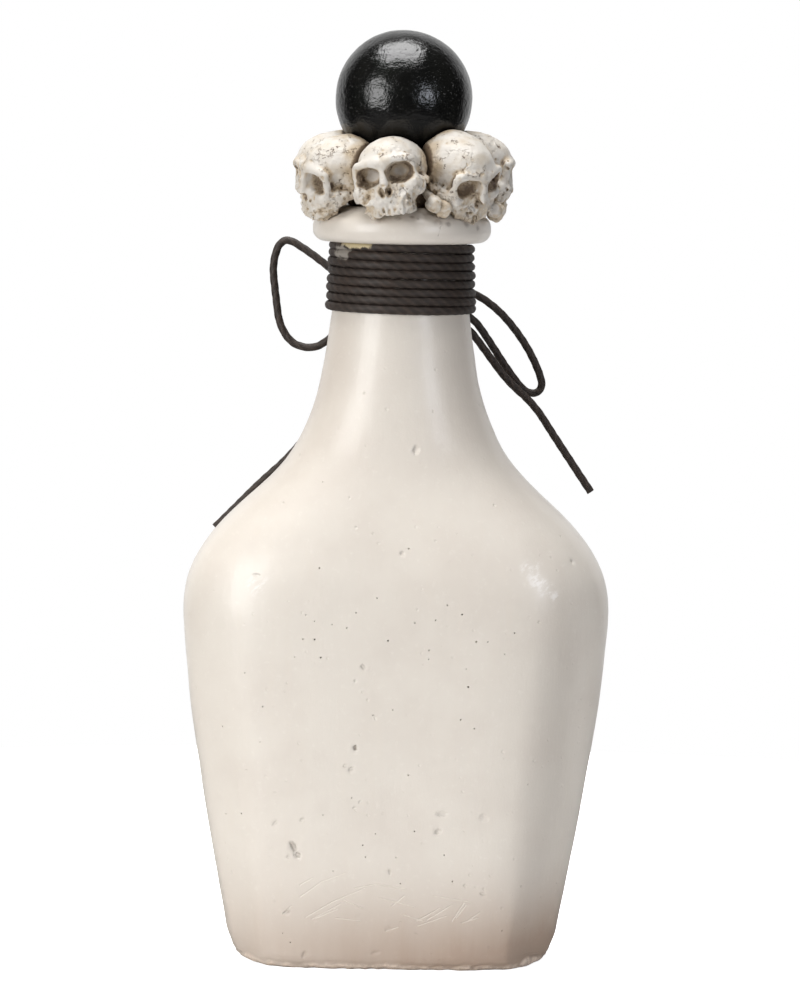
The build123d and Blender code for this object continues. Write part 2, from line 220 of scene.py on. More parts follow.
# %% Helpers for meshes
def mesh_piece(name, points, faces, material=None, values=None):
    """Makes a smooth-shaded object from points and faces, in place in its mesh."""
    mesh = bpy.data.meshes.new(name)
    mesh.from_pydata(np.asarray(points).tolist(), [], faces)
    mesh.validate()
    mesh.shade_smooth()
    for value_name, value in (values or {}).items():
        stored = mesh.attributes.new(value_name, "FLOAT", "POINT")
        stored.data.foreach_set("value", np.asarray(value, dtype=np.float32))
    if material:
        mesh.materials.append(material)
    piece = bpy.data.objects.new(name, mesh)
    bpy.context.scene.collection.objects.link(piece)
    print(name, len(mesh.polygons), "faces")
    return piece


def grain(points, size, seed):
    """Smooth random heights between -1 and 1, about as wide as size."""
    # Each corner's place in the grid is stirred into a random height by large odd numbers
    cell = np.asarray(points) / size
    base = np.floor(cell).astype(np.int64)
    share = cell - base
    share = share * share * (3 - 2 * share)
    total = np.zeros(cell.shape[:-1])
    for corner in np.ndindex(2, 2, 2):
        key = base + np.array(corner)
        mixed = key[..., 0] * 374761393 + key[..., 1] * 668265263 + key[..., 2] * 1442695041
        mixed = (mixed + seed * 974634777) & 0xFFFFFFFF
        mixed = ((mixed ^ (mixed >> 13)) * 1274126177) & 0xFFFFFFFF
        mixed = mixed ^ (mixed >> 16)
        weight = np.prod(np.where(np.array(corner) == 1, share, 1 - share), axis=-1)
        total += weight * (mixed / 0x7FFFFFFF - 1)
    return total


def smooth_step(value, low, high):
    """0 below low, 1 above high, and a smooth climb between."""
    share = np.clip((value - low) / (high - low), 0, 1)
    return share * share * (3 - 2 * share)


# %% [markdown]
# ## Waxed cord
# The cord is three twisted plies of cotton, stiff with dark brown wax. Each free stretch
# keeps the points of the model's route as the control points of one smooth
# NURBS line. A node tree then carries a three-lobed section along that line and turns it
# as it goes, which is how plies lie in a real cord. One tree serves every stretch.

# %% The cord's node tree
cord_width = 1.5 * mm
plies = 3
section_corners = 24


def cord_tree():
    """Carries a lobed section along a line, turning it as it goes."""
    tree = bpy.data.node_groups.new("waxed_cord", "GeometryNodeTree")
    sockets = tree.interface
    sockets.new_socket("Geometry", in_out="INPUT", socket_type="NodeSocketGeometry")
    sizes = {
        "Width": cord_width,
        "Lay Length": 6.5 * mm,
        "Ring Spacing": 0.28 * mm,
        "Lobe Depth Share": 0.032,
        "Wobble Share": 0.04,
    }
    for name, size in sizes.items():
        sockets.new_socket(name, in_out="INPUT", socket_type="NodeSocketFloat").default_value = size
    sockets.new_socket("Material", in_out="INPUT", socket_type="NodeSocketMaterial")
    sockets.new_socket("Geometry", in_out="OUTPUT", socket_type="NodeSocketGeometry")
    given = put(tree, "NodeGroupInput").outputs

    line = put(tree, "GeometryNodeMeshToCurve", {"Mesh": given["Geometry"]}).outputs[0]
    inputs = {"Curve": line, "Length": given["Ring Spacing"]}
    even = put(tree, "GeometryNodeResampleCurve", inputs, mode="LENGTH").outputs[0]
    along = put(tree, "GeometryNodeSplineParameter").outputs["Length"]
    turned = calc(tree, "DIVIDE", times(tree, along, math.tau), given["Lay Length"])
    twisted = put(tree, "GeometryNodeSetCurveTilt", {"Curve": even, "Tilt": turned}).outputs[0]
    inputs = {"Geometry": twisted, "Name": "along", "Value": along}
    marked = put(tree, "GeometryNodeStoreNamedAttribute", inputs).outputs[0]

    radius = times(tree, given["Width"], 0.5)
    inputs = {"Resolution": section_corners, "Radius": radius}
    section = put(tree, "GeometryNodeCurvePrimitiveCircle", inputs).outputs[0]
    around = put(tree, "GeometryNodeSplineParameter").outputs["Factor"]
    wave = calc(tree, "COSINE", times(tree, around, math.tau * plies))
    dip = times(tree, less(tree, wave, 1.0), given["Lobe Depth Share"])
    spot = put(tree, "GeometryNodeInputPosition").outputs[0]
    lobed = stretched(tree, spot, plus(tree, dip, 1.0))
    section = put(tree, "GeometryNodeSetPosition", {"Geometry": section, "Position": lobed}).outputs[0]
    inputs = {"Geometry": section, "Name": "around", "Value": around}
    section = put(tree, "GeometryNodeStoreNamedAttribute", inputs).outputs[0]

    inputs = {"Curve": marked, "Profile Curve": section, "Fill Caps": True}
    tube = put(tree, "GeometryNodeCurveToMesh", inputs).outputs[0]
    fuzz = put(tree, "ShaderNodeTexNoise", {"Scale": 1 / (0.5 * mm), "Detail": 2.0}).outputs[0]
    reach = times(tree, less(tree, fuzz, 0.5), given["Width"])
    reach = times(tree, reach, times(tree, given["Wobble Share"], 2.0))
    outwards = put(tree, "GeometryNodeInputNormal").outputs[0]
    shift = stretched(tree, outwards, reach)
    tube = put(tree, "GeometryNodeSetPosition", {"Geometry": tube, "Offset": shift}).outputs[0]
    tube = put(tree, "GeometryNodeSetShadeSmooth", {"Geometry": tube}).outputs[0]
    tube = put(tree, "GeometryNodeRealizeInstances", {"Geometry": tube}).outputs[0]
    inputs = {"Geometry": tube, "Material": given["Material"]}
    tube = put(tree, "GeometryNodeSetMaterial", inputs).outputs[0]
    put(tree, "NodeGroupOutput", {"Geometry": tube})
    return tree


cord_nodes = cord_tree()
print("the cord's tree has", len(cord_nodes.nodes), "nodes")


# %% [markdown]
# ### The cord's finish
# The wax fills the valleys between the plies and leaves the crests a little browner and
# duller, with short fibres along each ply. A plain noise would run straight through the
# twist. So the tree above stores how far along and how far round each point is, and the
# fibres follow those two values.

# %% The cord's material
# Where the glue is, how far it reaches each way, its colour, and how solid it is
glue_spots = (
    ((-8.6 * mm, -10.2 * mm, 133.2 * mm), (4.2 * mm, 4.2 * mm, 0.9 * mm), paint(206, 190, 150), -0.02),
    ((-10.8 * mm, -7.6 * mm, 131.6 * mm), (2.4 * mm, 3.0 * mm, 1.7 * mm), paint(150, 143, 134), 0.06),
)


def cord_material():
    made, tree, shader, place = start_material("waxed_cord")
    along = attribute(tree, "along")
    around = attribute(tree, "around")
    inputs = {0: along, 1: times(tree, around, 4.6 * mm)}
    lane = put(tree, "ShaderNodeCombineXYZ", inputs).outputs[0]
    fibres = noise(tree, lane, 0.16 * mm, 4.0, 0.7, (0.35, 1.6, 1))
    wave = calc(tree, "COSINE", times(tree, around, math.tau * plies))
    crest = rise(tree, wave, -0.6, 1.0)
    patches = noise(tree, place, 3.5 * mm, 2.0)
    worn = times(tree, rise(tree, wave, -0.9, 1.0), rise(tree, fibres, 0.46, 0.70))
    colour = glaze(tree, paint(60, 51, 45), worn, 0.5, paint(98, 85, 76))
    colour = glaze(tree, colour, rise(tree, patches, 0.5, 0.8), 0.5, paint(74, 58, 48))
    # Painted shade in the valleys between the plies
    colour = glaze(tree, colour, less(tree, 1.0, crest), 0.35, paint(30, 25, 23))
    # Dried glue in a strip under the lip, and a grey smear of it on the first turns
    glue_noise = noise(tree, place, 1.3 * mm, 3.0, 0.6)
    for spot, reach, tint, low in glue_spots:
        gap = vector_calc(tree, "SUBTRACT", place, spot)
        gap = vector_calc(tree, "DIVIDE", gap, reach)
        far = vector_calc(tree, "LENGTH", gap, result="Value")
        near = less(tree, glue_noise, times(tree, far, 0.5))
        colour = glaze(tree, colour, rise(tree, near, low, low + 0.16), 0.85, tint)
    tree.links.new(colour, shader.inputs["Base Color"])
    tree.links.new(plus(tree, times(tree, fibres, 0.25), 0.40), shader.inputs["Roughness"])
    shader.inputs["Specular IOR Level"].default_value = 0.40
    raise_by(tree, shader, fibres, 0.045 * mm)
    return made


cord_finish = cord_material()
print("the cord's finish has", len(cord_finish.node_tree.nodes), "nodes")


# %% Cords from their lines
def smooth_line(name, points):
    """The smooth line through a route's control points, as a mesh of one edge after another."""
    curve = bpy.data.curves.new(name, "CURVE")
    curve.dimensions = "3D"
    curve.resolution_u = 16
    spline = curve.splines.new("NURBS")
    spline.points.add(len(points) - 1)
    for corner, point in zip(spline.points, points):
        corner.co = (point[0] * mm, point[1] * mm, point[2] * mm, 1)
    spline.order_u = 3
    spline.use_endpoint_u = True
    holder = bpy.data.objects.new(name, curve)
    bpy.context.scene.collection.objects.link(holder)
    seen = holder.evaluated_get(bpy.context.evaluated_depsgraph_get())
    line = bpy.data.meshes.new_from_object(seen)
    bpy.data.objects.remove(holder)
    return line


def modifier_mesh(piece, tree, inputs):
    """Runs a node tree on a piece and keeps the plain mesh that comes out."""
    modifier = piece.modifiers.new("shape", "NODES")
    modifier.node_group = tree
    sockets = {s.name: s.identifier for s in tree.interface.items_tree if s.in_out == "INPUT"}
    for name, value in inputs.items():
        modifier[sockets[name]] = value
    piece.update_tag()
    bpy.context.view_layer.update()
    seen = piece.evaluated_get(bpy.context.evaluated_depsgraph_get())
    shaped = bpy.data.meshes.new_from_object(seen)
    piece.modifiers.clear()
    piece.data = shaped
    return piece


def cord_piece(name, line, **sizes):
    """A twisted cord along a line."""
    piece = bpy.data.objects.new(name, line)
    bpy.context.scene.collection.objects.link(piece)
    inputs = {"Material": cord_finish, **sizes}
    modifier_mesh(piece, cord_nodes, inputs)
    print(name, len(piece.data.polygons), "faces")
    return piece


def line_length(line):
    """The length of a line, in metres."""
    spots = [v.co for v in line.vertices]
    return sum((b - a).length for a, b in zip(spots[:-1], spots[1:]))


# %% [markdown]
# ### The bow
# The photograph shows both loops and both tails, apart from what the neck hides. A cloth
# or rope simulation would find a shape of its own, but these cords are stiff with wax and
# keep theirs. So their points are the model's own, listed in millimetres. The
# knot sits behind the neck: three strands side by side, with a band drawn round them.

# %% The bow's routes
knot_side = 2.8
knot_behind = 16.3
knot_high = 122.7
knot_middle = 120.6
knot_low = 118.5
bow_routes = {
    "bow_loop_left": (
        (-knot_side, knot_behind, knot_high),
        (-7.0, knot_behind, knot_high),
        (-12.0, 17.6, 126.6),
        (-17.6, 18.6, 130.8),
        (-22.4, 19.2, 133.6),
        (-24.4, 19.6, 128.6),
        (-23.6, 19.6, 122.2),
        (-22.8, 19.2, 116.4),
        (-19.8, 18.6, 112.6),
        (-14.4, 17.8, 112.6),
        (-8.2, knot_behind, knot_middle),
        (-knot_side, knot_behind, knot_middle),
    ),
    "bow_loop_right": (
        (knot_side, knot_behind, knot_high),
        (7.0, knot_behind, knot_high),
        (12.4, 17.6, 124.2),
        (18.2, 18.8, 120.6),
        (22.8, 19.8, 115.2),
        (25.8, 20.4, 110.0),
        (27.4, 20.8, 105.2),
        (24.2, 20.6, 104.0),
        (20.4, 20.0, 108.8),
        (17.0, 19.2, 114.0),
        (13.4, 18.0, 119.2),
        (7.6, knot_behind, knot_middle),
        (knot_side, knot_behind, knot_middle),
    ),
    "bow_tail_right": (
        (knot_side, knot_behind, knot_low),
        (7.0, knot_behind, knot_low),
        (12.4, 17.0, 117.4),
        (16.2, 17.2, 112.4),
        (20.4, 17.2, 106.8),
        (25.4, 17.4, 102.6),
        (29.2, 17.4, 96.8),
        (33.0, 17.2, 91.2),
        (36.4, 17.0, 86.2),
    ),
    "bow_tail_left": (
        (-knot_side, knot_behind, knot_low),
        (-6.6, knot_behind, knot_low),
        (-9.6, 17.6, 112.8),
        (-11.6, 18.0, 106.0),
        (-15.2, 18.2, 98.8),
        (-20.4, 18.2, 92.0),
        (-26.4, 18.0, 86.6),
        (-31.0, 17.6, 81.8),
        (-34.4, 17.2, 78.4),
    ),
}

bow_pieces = {}
for name, route in bow_routes.items():
    line = smooth_line(name, route)
    path = [tuple(v.co) for v in line.vertices]
    length = line_length(line)
    piece = cord_piece(name + "_cord", line)
    bow_pieces[name] = (piece, path, length)
    print(name, "is", round(length / mm, 1), "mm long")

# %% [markdown]
# ### The knot
# Two turns of cord hold the strands together. A true knot would be one long tangled line
# that hardly shows at this size. So the band is one helix round the strands, and three
# short straight stretches carry the strands through it.

# %% The knot
band_points = []
band_turns = 2
band_steps = 12
for step in range(band_turns * band_steps + 1):
    angle = math.tau * step / band_steps + math.pi / 2
    across = (step / (band_turns * band_steps) - 0.5) * band_turns * cord_width / mm
    band_points.append((across, knot_behind - 1.5 * math.cos(angle), knot_middle + 3.6 * math.sin(angle)))
knot_parts = [cord_piece("knot_band", smooth_line("knot_band", band_points))]
for number, level in enumerate((knot_high, knot_middle, knot_low)):
    through = [(-knot_side, knot_behind, level), (0, knot_behind, level), (knot_side, knot_behind, level)]
    knot_parts.append(cord_piece(f"knot_strand_{number}", smooth_line("strand", through)))


def join_pieces(name, pieces):
    """Joins several pieces into the first, under a new name."""
    with bpy.context.temp_override(active_object=pieces[0], selected_editable_objects=pieces):
        bpy.ops.object.join()
    pieces[0].name = name
    return pieces[0]


knot = join_pieces("bow_knot_cord", knot_parts)
print("knot", len(knot.data.polygons), "faces")

# %% [markdown]
# ### The binding round the neck
# The turns climb from low on the neck to just under the lip. Stacked rings would look
# much the same from far away, but a real binding is one cord, so it is one long helix.
# The neck narrows as it climbs, and the hand that wound it wasn't perfect, so each turn
# strays a little. The first and last turns are drawn flat against their neighbours.

# %% The binding
lip_low = 133.4
turns = 8
turn_pitch = 1.62
turn_steps = 16
binding_width = 1.72
tucked = 0.75
binding_high = lip_low - binding_width / 2 + 0.12
binding_low = binding_high - turns * turn_pitch + 2 * tucked
binding_low_radius = 12.6 + binding_width / 2
binding_high_radius = 12.0 + binding_width / 2
binding_points = []
for step in range(turns * turn_steps + 1):
    share = step / (turns * turn_steps)
    angle = math.tau * step / turn_steps
    stray = 0.05 * math.sin(2.3 * angle) + 0.04 * math.sin(0.71 * angle + 1)
    radius = binding_low_radius + (binding_high_radius - binding_low_radius) * share
    radius = radius + 0.08 * math.sin(1.37 * angle + 2)
    height = binding_low - tucked + turn_pitch * turns * share + stray
    height = min(max(height, binding_low), binding_high)
    binding_points.append((radius * math.sin(angle), radius * math.cos(angle), height))
binding_line = smooth_line("neck_binding", binding_points)
print("binding", round(line_length(binding_line) / mm, 1), "mm of cord")
binding = cord_piece("neck_binding", binding_line, Width=binding_width * mm)

# %% What the cords stand for
for name, (piece, path, length) in bow_pieces.items():
    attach(piece, "flask")
    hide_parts(name)
for piece, node in ((knot, "bow_knot"), (binding, "neck_winding")):
    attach(piece, "flask")
    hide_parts(node)
print("free cords", len(bow_pieces))

# %% [markdown]
# ## Light and floor
# The bottle was lit by large soft boxes: one overhead, one low on the left and a weaker,
# cooler one on the right. Their pictures on the black ball show where they stood and how
# large they were. Pale surfaces must not burn out, so the lamps stay at a plain level, and
# the white ground comes from what the camera sees of floor and world.

# %% Lamps
def soft_box(name, place, aim, width, height, power, colour=(1, 1, 1)):
    """A rectangular lamp that looks at a point."""
    data = bpy.data.lights.new(name, "AREA")
    data.shape = "RECTANGLE"
    data.size = width
    data.size_y = height
    data.energy = power
    data.color = colour
    lamp = bpy.data.objects.new(name, data)
    bpy.context.scene.collection.objects.link(lamp)
    lamp.location = place
    lamp.rotation_euler = (Vector(aim) - Vector(place)).to_track_quat("-Z", "Y").to_euler()
    print("lamp", name, power, "W")
    return lamp


middle = Vector((0, 0, 0.10))
soft_box("overhead", (-0.10, -0.05, 1.16), (-0.10, -0.049, 0), 0.86, 0.80, 16.8)
soft_box("left_front", (-0.72, -0.68, 0.30), middle, 0.53, 0.70, 6.7)
soft_box("right_front", (0.63, -0.75, 0.29), middle, 0.28, 0.34, 1.90, (0.86, 0.90, 1.0))

# %% World
world = bpy.data.worlds.new("studio")
bpy.context.scene.world = world
world.use_nodes = True
tree = world.node_tree
ground = tree.nodes["Background"]
rays = put(tree, "ShaderNodeLightPath").outputs
sky = put(tree, "ShaderNodeTexCoord").outputs["Generated"]
heading = put(tree, "ShaderNodeSeparateXYZ", {0: sky}).outputs
behind = times(tree, rise(tree, heading["Y"], 0.46, 0.72), 0.8)
mirrored = times(tree, rays["Is Glossy Ray"], behind)
room = plus(tree, times(tree, rays["Is Diffuse Ray"], 0.055), 0.03)
strength = strongest(tree, [rays["Is Camera Ray"], rays["Is Transmission Ray"], mirrored, room])
tree.links.new(strength, ground.inputs["Strength"])
ground.inputs["Color"].default_value = (1, 1, 1, 1)
print("world of", len(tree.nodes), "nodes")

# %% Floor
floor_radius = 0.32
floor_corners = 96
floor_mesh = bpy.data.meshes.new("floor")
rim = [math.tau * corner / floor_corners for corner in range(floor_corners)]
rim_points = [(floor_radius * math.cos(a), floor_radius * math.sin(a), 0) for a in rim]
floor_mesh.from_pydata(rim_points, [], [tuple(range(floor_corners))])
floor = bpy.data.objects.new("floor", floor_mesh)
bpy.context.scene.collection.objects.link(floor)
floor_finish, tree, shader, place = start_material("floor")
rays = put(tree, "ShaderNodeLightPath").outputs
dim = less(tree, 0.82, times(tree, rays["Is Glossy Ray"], 0.6))
shade = put(tree, "ShaderNodeCombineColor", {0: dim, 1: dim, 2: dim}).outputs[0]
tree.links.new(shade, shader.inputs["Base Color"])
shader.inputs["Roughness"].default_value = 0.9
shader.inputs["Specular IOR Level"].default_value = 0.0
shader.inputs["Emission Color"].default_value = (1, 1, 1, 1)
tree.links.new(times(tree, rays["Is Camera Ray"], 0.95), shader.inputs["Emission Strength"])
floor_mesh.materials.append(floor_finish)

# %% [markdown]
# ## Closed shells from rings
# The flask, the ball, the cork and the resin collar are all closed surfaces round an
# upright axis. Each is made as a stack of rings: one row of points after another, from a
# pole underneath, up the outside, and back down the inside to the other pole. A Screw
# modifier could turn a round one, but it can't make the flask's squared-off sections, and
# rings of points are easy to push about by noise.

# %% Shells from rings
def ring_faces(rows, columns):
    """Faces for a stack of rings between two single poles."""
    faces = []
    for column in range(columns):
        after = (column + 1) % columns
        faces.append((0, 1 + after, 1 + column))
    for row in range(rows - 1):
        for column in range(columns):
            after = (column + 1) % columns
            low = 1 + row * columns
            high = low + columns
            faces.append((low + column, low + after, high + after, high + column))
    last = 1 + (rows - 1) * columns
    pole = last + columns
    for column in range(columns):
        after = (column + 1) % columns
        faces.append((pole, last + column, last + after))
    return faces


def shell_points(rings):
    """The pole, all rings and the other pole, in one list of points."""
    low_pole = rings[0].mean(axis=0, keepdims=True)
    high_pole = rings[-1].mean(axis=0, keepdims=True)
    return np.concatenate([low_pole, rings.reshape(-1, 3), high_pole])


def ring_normals(rings):
    """Outward directions at each point of a stack of rings."""
    round_step = np.roll(rings, -1, axis=1) - np.roll(rings, 1, axis=1)
    up_step = np.gradient(rings, axis=0)
    outwards = np.cross(round_step, up_step)
    return outwards / np.maximum(np.linalg.norm(outwards, axis=-1, keepdims=True), 1e-12)


# %% [markdown]
# ## The flask
# The body's level sections are squared-off ovals that swell from the foot to the belly,
# draw in over the shoulder and turn into the round neck. The sizes are those of the
# model. Here the same stations are joined by a smooth curve, and the points are set
# closer together at the front, where the cast surface has its dents and pinholes.

# %% The flask's sizes
bottle_low, bottle_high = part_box("bottle")
body_width = (bottle_high.x - bottle_low.x) / mm
body_depth = (bottle_high.y - bottle_low.y) / mm
bottle_height = bottle_high.z / mm
base_width = 60.4
base_depth = 36.0
neck_foot_width = 25.2
neck_top_width = 24.0
belly_height = 65.0
neck_foot_height = 121.0
foot_round = 3.0
wall = 3.6
inner_floor = 5.0
bore_radius = 8.6
body_squareness = 3.3
body_shares = ((0.38, 0.46), (0.74, 0.84))
shoulder_shares = (
    (0.06, 0.99),
    (0.12, 0.97),
    (0.18, 0.91),
    (0.24, 0.83),
    (0.30, 0.72),
    (0.36, 0.59),
    (0.42, 0.45),
    (0.48, 0.33),
    (0.54, 0.24),
    (0.62, 0.165),
    (0.72, 0.09),
    (0.85, 0.04),
)
lip_radius = 16.5
lip_widest = 135.64
print("flask", round(body_width, 1), "x", round(body_depth, 1), "x", round(bottle_height, 1))

# %% The flask's smooth profile
heights = [foot_round]
sizes = [(base_width / 2, base_depth / 2, body_squareness)]
for height_share, size_share in body_shares:
    heights.append(foot_round + height_share * (belly_height - foot_round))
    sizes.append(
        (
            base_width / 2 + size_share * (body_width - base_width) / 2,
            base_depth / 2 + size_share * (body_depth - base_depth) / 2,
            body_squareness,
        )
    )
heights.append(belly_height)
sizes.append((body_width / 2, body_depth / 2, body_squareness))
for height_share, size_share in shoulder_shares:
    heights.append(belly_height + height_share * (neck_foot_height - belly_height))
    sizes.append(
        (
            neck_foot_width / 2 + size_share * (body_width - neck_foot_width) / 2,
            neck_foot_width / 2 + size_share * (body_depth - neck_foot_width) / 2,
            2 + size_share * (body_squareness - 2),
        )
    )
heights += [neck_foot_height, lip_low]
sizes += [(neck_foot_width / 2, neck_foot_width / 2, 2), (neck_top_width / 2, neck_top_width / 2, 2)]

fine_step = 0.25
run_on = 12
fine_heights = np.arange(foot_round - run_on, lip_low + run_on, fine_step)
spread = 2.2
window_steps = 40
window = np.exp(-0.5 * (np.arange(-window_steps, window_steps + 1) * fine_step / spread) ** 2)
window = window / window.sum()
fine_sizes = []
for column in np.array(sizes).T:
    drawn = np.interp(fine_heights, heights, column)
    # Past either end the line runs on as it was going, so that smoothing doesn't pull it in
    low_slope = (column[1] - column[0]) / (heights[1] - heights[0])
    high_slope = (column[-1] - column[-2]) / (heights[-1] - heights[-2])
    drawn += np.minimum(fine_heights - heights[0], 0) * low_slope
    drawn += np.maximum(fine_heights - heights[-1], 0) * high_slope
    padded = np.pad(drawn, window_steps, mode="edge")
    fine_sizes.append(np.convolve(padded, window, mode="valid"))
print("the profile is drawn at", len(fine_heights), "heights")


def body_size(height):
    """Half width, half depth and squareness of the flask at a height."""
    return [np.interp(height, fine_heights, column) for column in fine_sizes]


# %% The flask's rows, from under the foot to the inside of the floor
def spaced_heights(low, high, count):
    """Heights between low and high, evenly spaced along the flask's side."""
    many = np.linspace(low, high, 2000)
    half_width = body_size(many)[0]
    travelled = np.concatenate([[0], np.cumsum(np.hypot(np.diff(many), np.diff(half_width)))])
    return np.interp(np.linspace(0, travelled[-1], count), travelled, many)


under_shares = (0.15, 0.4, 0.6, 0.8, 0.9, 0.97)
foot_steps = 22
side_rows = 226
side_top = 119.0
neck_rows = 12
lip_steps = 12
bore_rows = 8
inner_rows = 24
floor_shares = (0.9, 0.7, 0.45, 0.2)
flask_rows = []
flat_width = base_width / 2 - foot_round
flat_depth = base_depth / 2 - foot_round
for share in under_shares:
    flask_rows.append((0.0, flat_width * share, flat_depth * share, body_squareness))
for step in range(foot_steps):
    turn = math.pi / 2 * step / foot_steps
    inset = foot_round * (1 - math.sin(turn))
    lift = foot_round * (1 - math.cos(turn))
    flask_rows.append((lift, base_width / 2 - inset, base_depth / 2 - inset, body_squareness))
for height in spaced_heights(foot_round, side_top, side_rows):
    flask_rows.append((height, *body_size(height)))
for height in np.linspace(side_top + 1, lip_low - 0.2, neck_rows):
    flask_rows.append((height, *body_size(height)))
lip_turn = lip_widest - lip_low
for step in range(lip_steps):
    turn = math.pi / 2 * step / (lip_steps - 1)
    radius = lip_radius - lip_turn + lip_turn * math.sin(turn)
    flask_rows.append((lip_widest - lip_turn * math.cos(turn), radius, radius, 2))
# Height and radius down the lip's long slope, over its top and into the mouth
lip_slope = (
    (136.3, 16.48), (136.9, 16.38), (137.4, 16.18), (137.8, 15.88), (138.1, 15.5), (138.4, 15.05),
    (138.75, 14.45), (139.1, 13.85), (139.45, 13.2), (139.75, 12.55), (139.93, 12.0), (140.0, 11.4),
    (140.0, 10.6), (139.97, 9.8), (139.8, 9.1), (139.4, 8.72), (138.8, 8.6),
)
for height, radius in lip_slope:
    flask_rows.append((height, radius, radius, 2))
for height in np.linspace(136, neck_foot_height, bore_rows):
    flask_rows.append((height, bore_radius, bore_radius, 2))
for height in np.linspace(neck_foot_height - 3, inner_floor + 2, inner_rows):
    half_width, half_depth, squareness = body_size(height)
    narrow = smooth_step(np.array(height), 100, neck_foot_height)
    inner_width = (half_width - wall) * (1 - narrow) + bore_radius * narrow
    inner_depth = (half_depth - wall) * (1 - narrow) + bore_radius * narrow
    flask_rows.append((height, inner_width, inner_depth, squareness))
for share in floor_shares:
    flask_rows.append((inner_floor, flat_width * share, flat_depth * share, body_squareness))
print("flask rows", len(flask_rows))

# %% Points along each row, closer together at the front
flask_columns = 276
front_crowding = 1.5


def oval_ring(half_width, half_depth, squareness, height, columns, crowding):
    """One ring of a squared-off oval, counted round from the front."""
    angles = np.linspace(0, math.tau, 1441) - math.pi / 2
    across = np.abs(np.cos(angles)) / half_width
    along = np.abs(np.sin(angles)) / half_depth
    reach = (across**squareness + along**squareness) ** (-1 / squareness)
    x = reach * np.cos(angles)
    y = reach * np.sin(angles)
    steps = np.hypot(np.diff(x), np.diff(y))
    front = smooth_step(-(y[1:] + y[:-1]) / 2 / half_depth, -0.35, 0.35)
    travelled = np.concatenate([[0], np.cumsum(steps * (1 + crowding * front))])
    wanted = np.linspace(0, travelled[-1], columns, endpoint=False)
    ring_x = np.interp(wanted, travelled, x)
    ring_y = np.interp(wanted, travelled, y)
    return np.column_stack([ring_x, ring_y, np.full(columns, height)])


flask_rings = np.array(
    [oval_ring(w, d, s, h, flask_columns, front_crowding) for h, w, d, s in flask_rows]
)
flask_out = ring_normals(flask_rings)
print("flask points", flask_rings.shape)

# %% [markdown]
# ### Dents and pinholes
# Cast resin traps air against its mould. Big bubbles leave dents that the paint has
# rounded over, and small ones leave dark pinholes. They could be scattered at random, but
# then none would lie where it does on the real flask. So each is placed by the pixel where
# the photograph shows it, by sending a ray from the camera to the smooth surface. Only the
# sides and the back, which the photograph doesn't show, get theirs at random.

# %% Where the photograph shows dents and pinholes
# Pixel x, pixel y, half width, half height, depth, tilt in degrees, dirt
dent_pixels = (
    (293, 847, 0.6, 1.2, 1.2, 20, 0.5),
    (297, 855, 0.75, 0.75, 0.9, -30, 0.2),
    (288, 857, 0.5, 0.45, 0.35, 0, 0.1),
    (355, 748, 0.42, 0.62, 0.8, 0, 0.9),
    (351, 769, 0.85, 0.5, 0.6, 30, 0.15),
    (345, 766, 0.45, 0.4, 0.35, 0, 0.1),
    (363, 667, 0.45, 0.75, 0.6, 30, 0.15),
    (355, 681, 0.35, 0.45, 0.35, 0, 0.1),
    (275, 823, 0.75, 0.4, 0.45, 40, 0.15),
    (302, 820, 0.6, 0.4, 0.42, 20, 0.15),
    (442, 814, 1.2, 0.6, 0.42, 5, 0.1),
    (438, 832, 0.8, 0.55, 0.55, 25, 0.15),
    (484, 818, 1.0, 0.9, 0.26, 0, 0.05),
    (416, 450, 0.75, 1.0, 0.50, -15, 0.1),
    (574, 561, 0.6, 0.6, 0.4, 0, 0.2),
    (257, 575, 0.9, 0.35, 0.4, 0, 0.1),
    (390, 872, 0.3, 0.7, 0.45, 15, 0.3),
    (286, 912, 0.9, 0.35, 0.5, 20, 0.1),
    (402, 553, 0.4, 0.55, 0.5, 0, 0.2),
    (360, 802, 0.5, 0.3, 0.3, 40, 0.1),
    (354, 808, 0.4, 0.3, 0.3, 20, 0.1),
    (375, 718, 0.35, 0.5, 0.3, 20, 0.15),
    (465, 886, 0.5, 0.3, 0.3, 0, 0.2),
    (482, 894, 0.7, 0.3, 0.35, -20, 0.2),
    (503, 752, 0.4, 0.4, 0.25, 0, 0.1),
    (389, 929, 0.9, 0.5, 0.3, 10, 0.0),
    (375, 953, 1.1, 0.5, 0.35, 15, 0.0),
    (304, 955, 0.4, 0.9, 0.4, -20, 0.2),
)
pinhole_pixels = (
    (305, 614), (314, 620), (315, 638), (302, 639), (333, 626), (348, 627), (357, 614), (294, 658),
    (320, 657), (245, 672), (378, 599), (447, 604), (436, 621), (416, 623), (462, 614), (475, 641),
    (487, 642), (514, 634), (430, 650), (429, 658), (467, 668), (467, 686), (374, 716), (394, 711),
    (462, 719), (473, 730), (263, 707), (219, 727), (261, 742), (409, 774), (352, 798), (527, 786),
    (222, 814), (239, 814), (323, 814), (414, 831), (375, 835), (362, 845), (366, 857), (395, 856),
    (443, 854), (453, 883), (521, 886), (322, 483), (561, 537), (319, 567), (410, 548), (283, 932),
    (290, 942), (548, 900), (502, 932), (527, 930), (400, 883), (332, 870), (388, 640), (506, 655),
)
print("dents", len(dent_pixels), "and pinholes", len(pinhole_pixels))

# %% Finding the surface behind a pixel
faces = ring_faces(len(flask_rings), flask_columns)
smooth_tree = BVHTree.FromPolygons((shell_points(flask_rings) * mm).tolist(), faces)


def surface_from(start, heading):
    """The point of the flask first met from a place, the way it faces, and its face's number."""
    spot, outwards, face = smooth_tree.ray_cast(start, heading)[:3]
    return np.array(spot) / mm, np.array(outwards), face


def surface_at(pixel):
    """The same for the point of the flask that a pixel shows."""
    return surface_from(camera_place, pixel_ray(pixel))


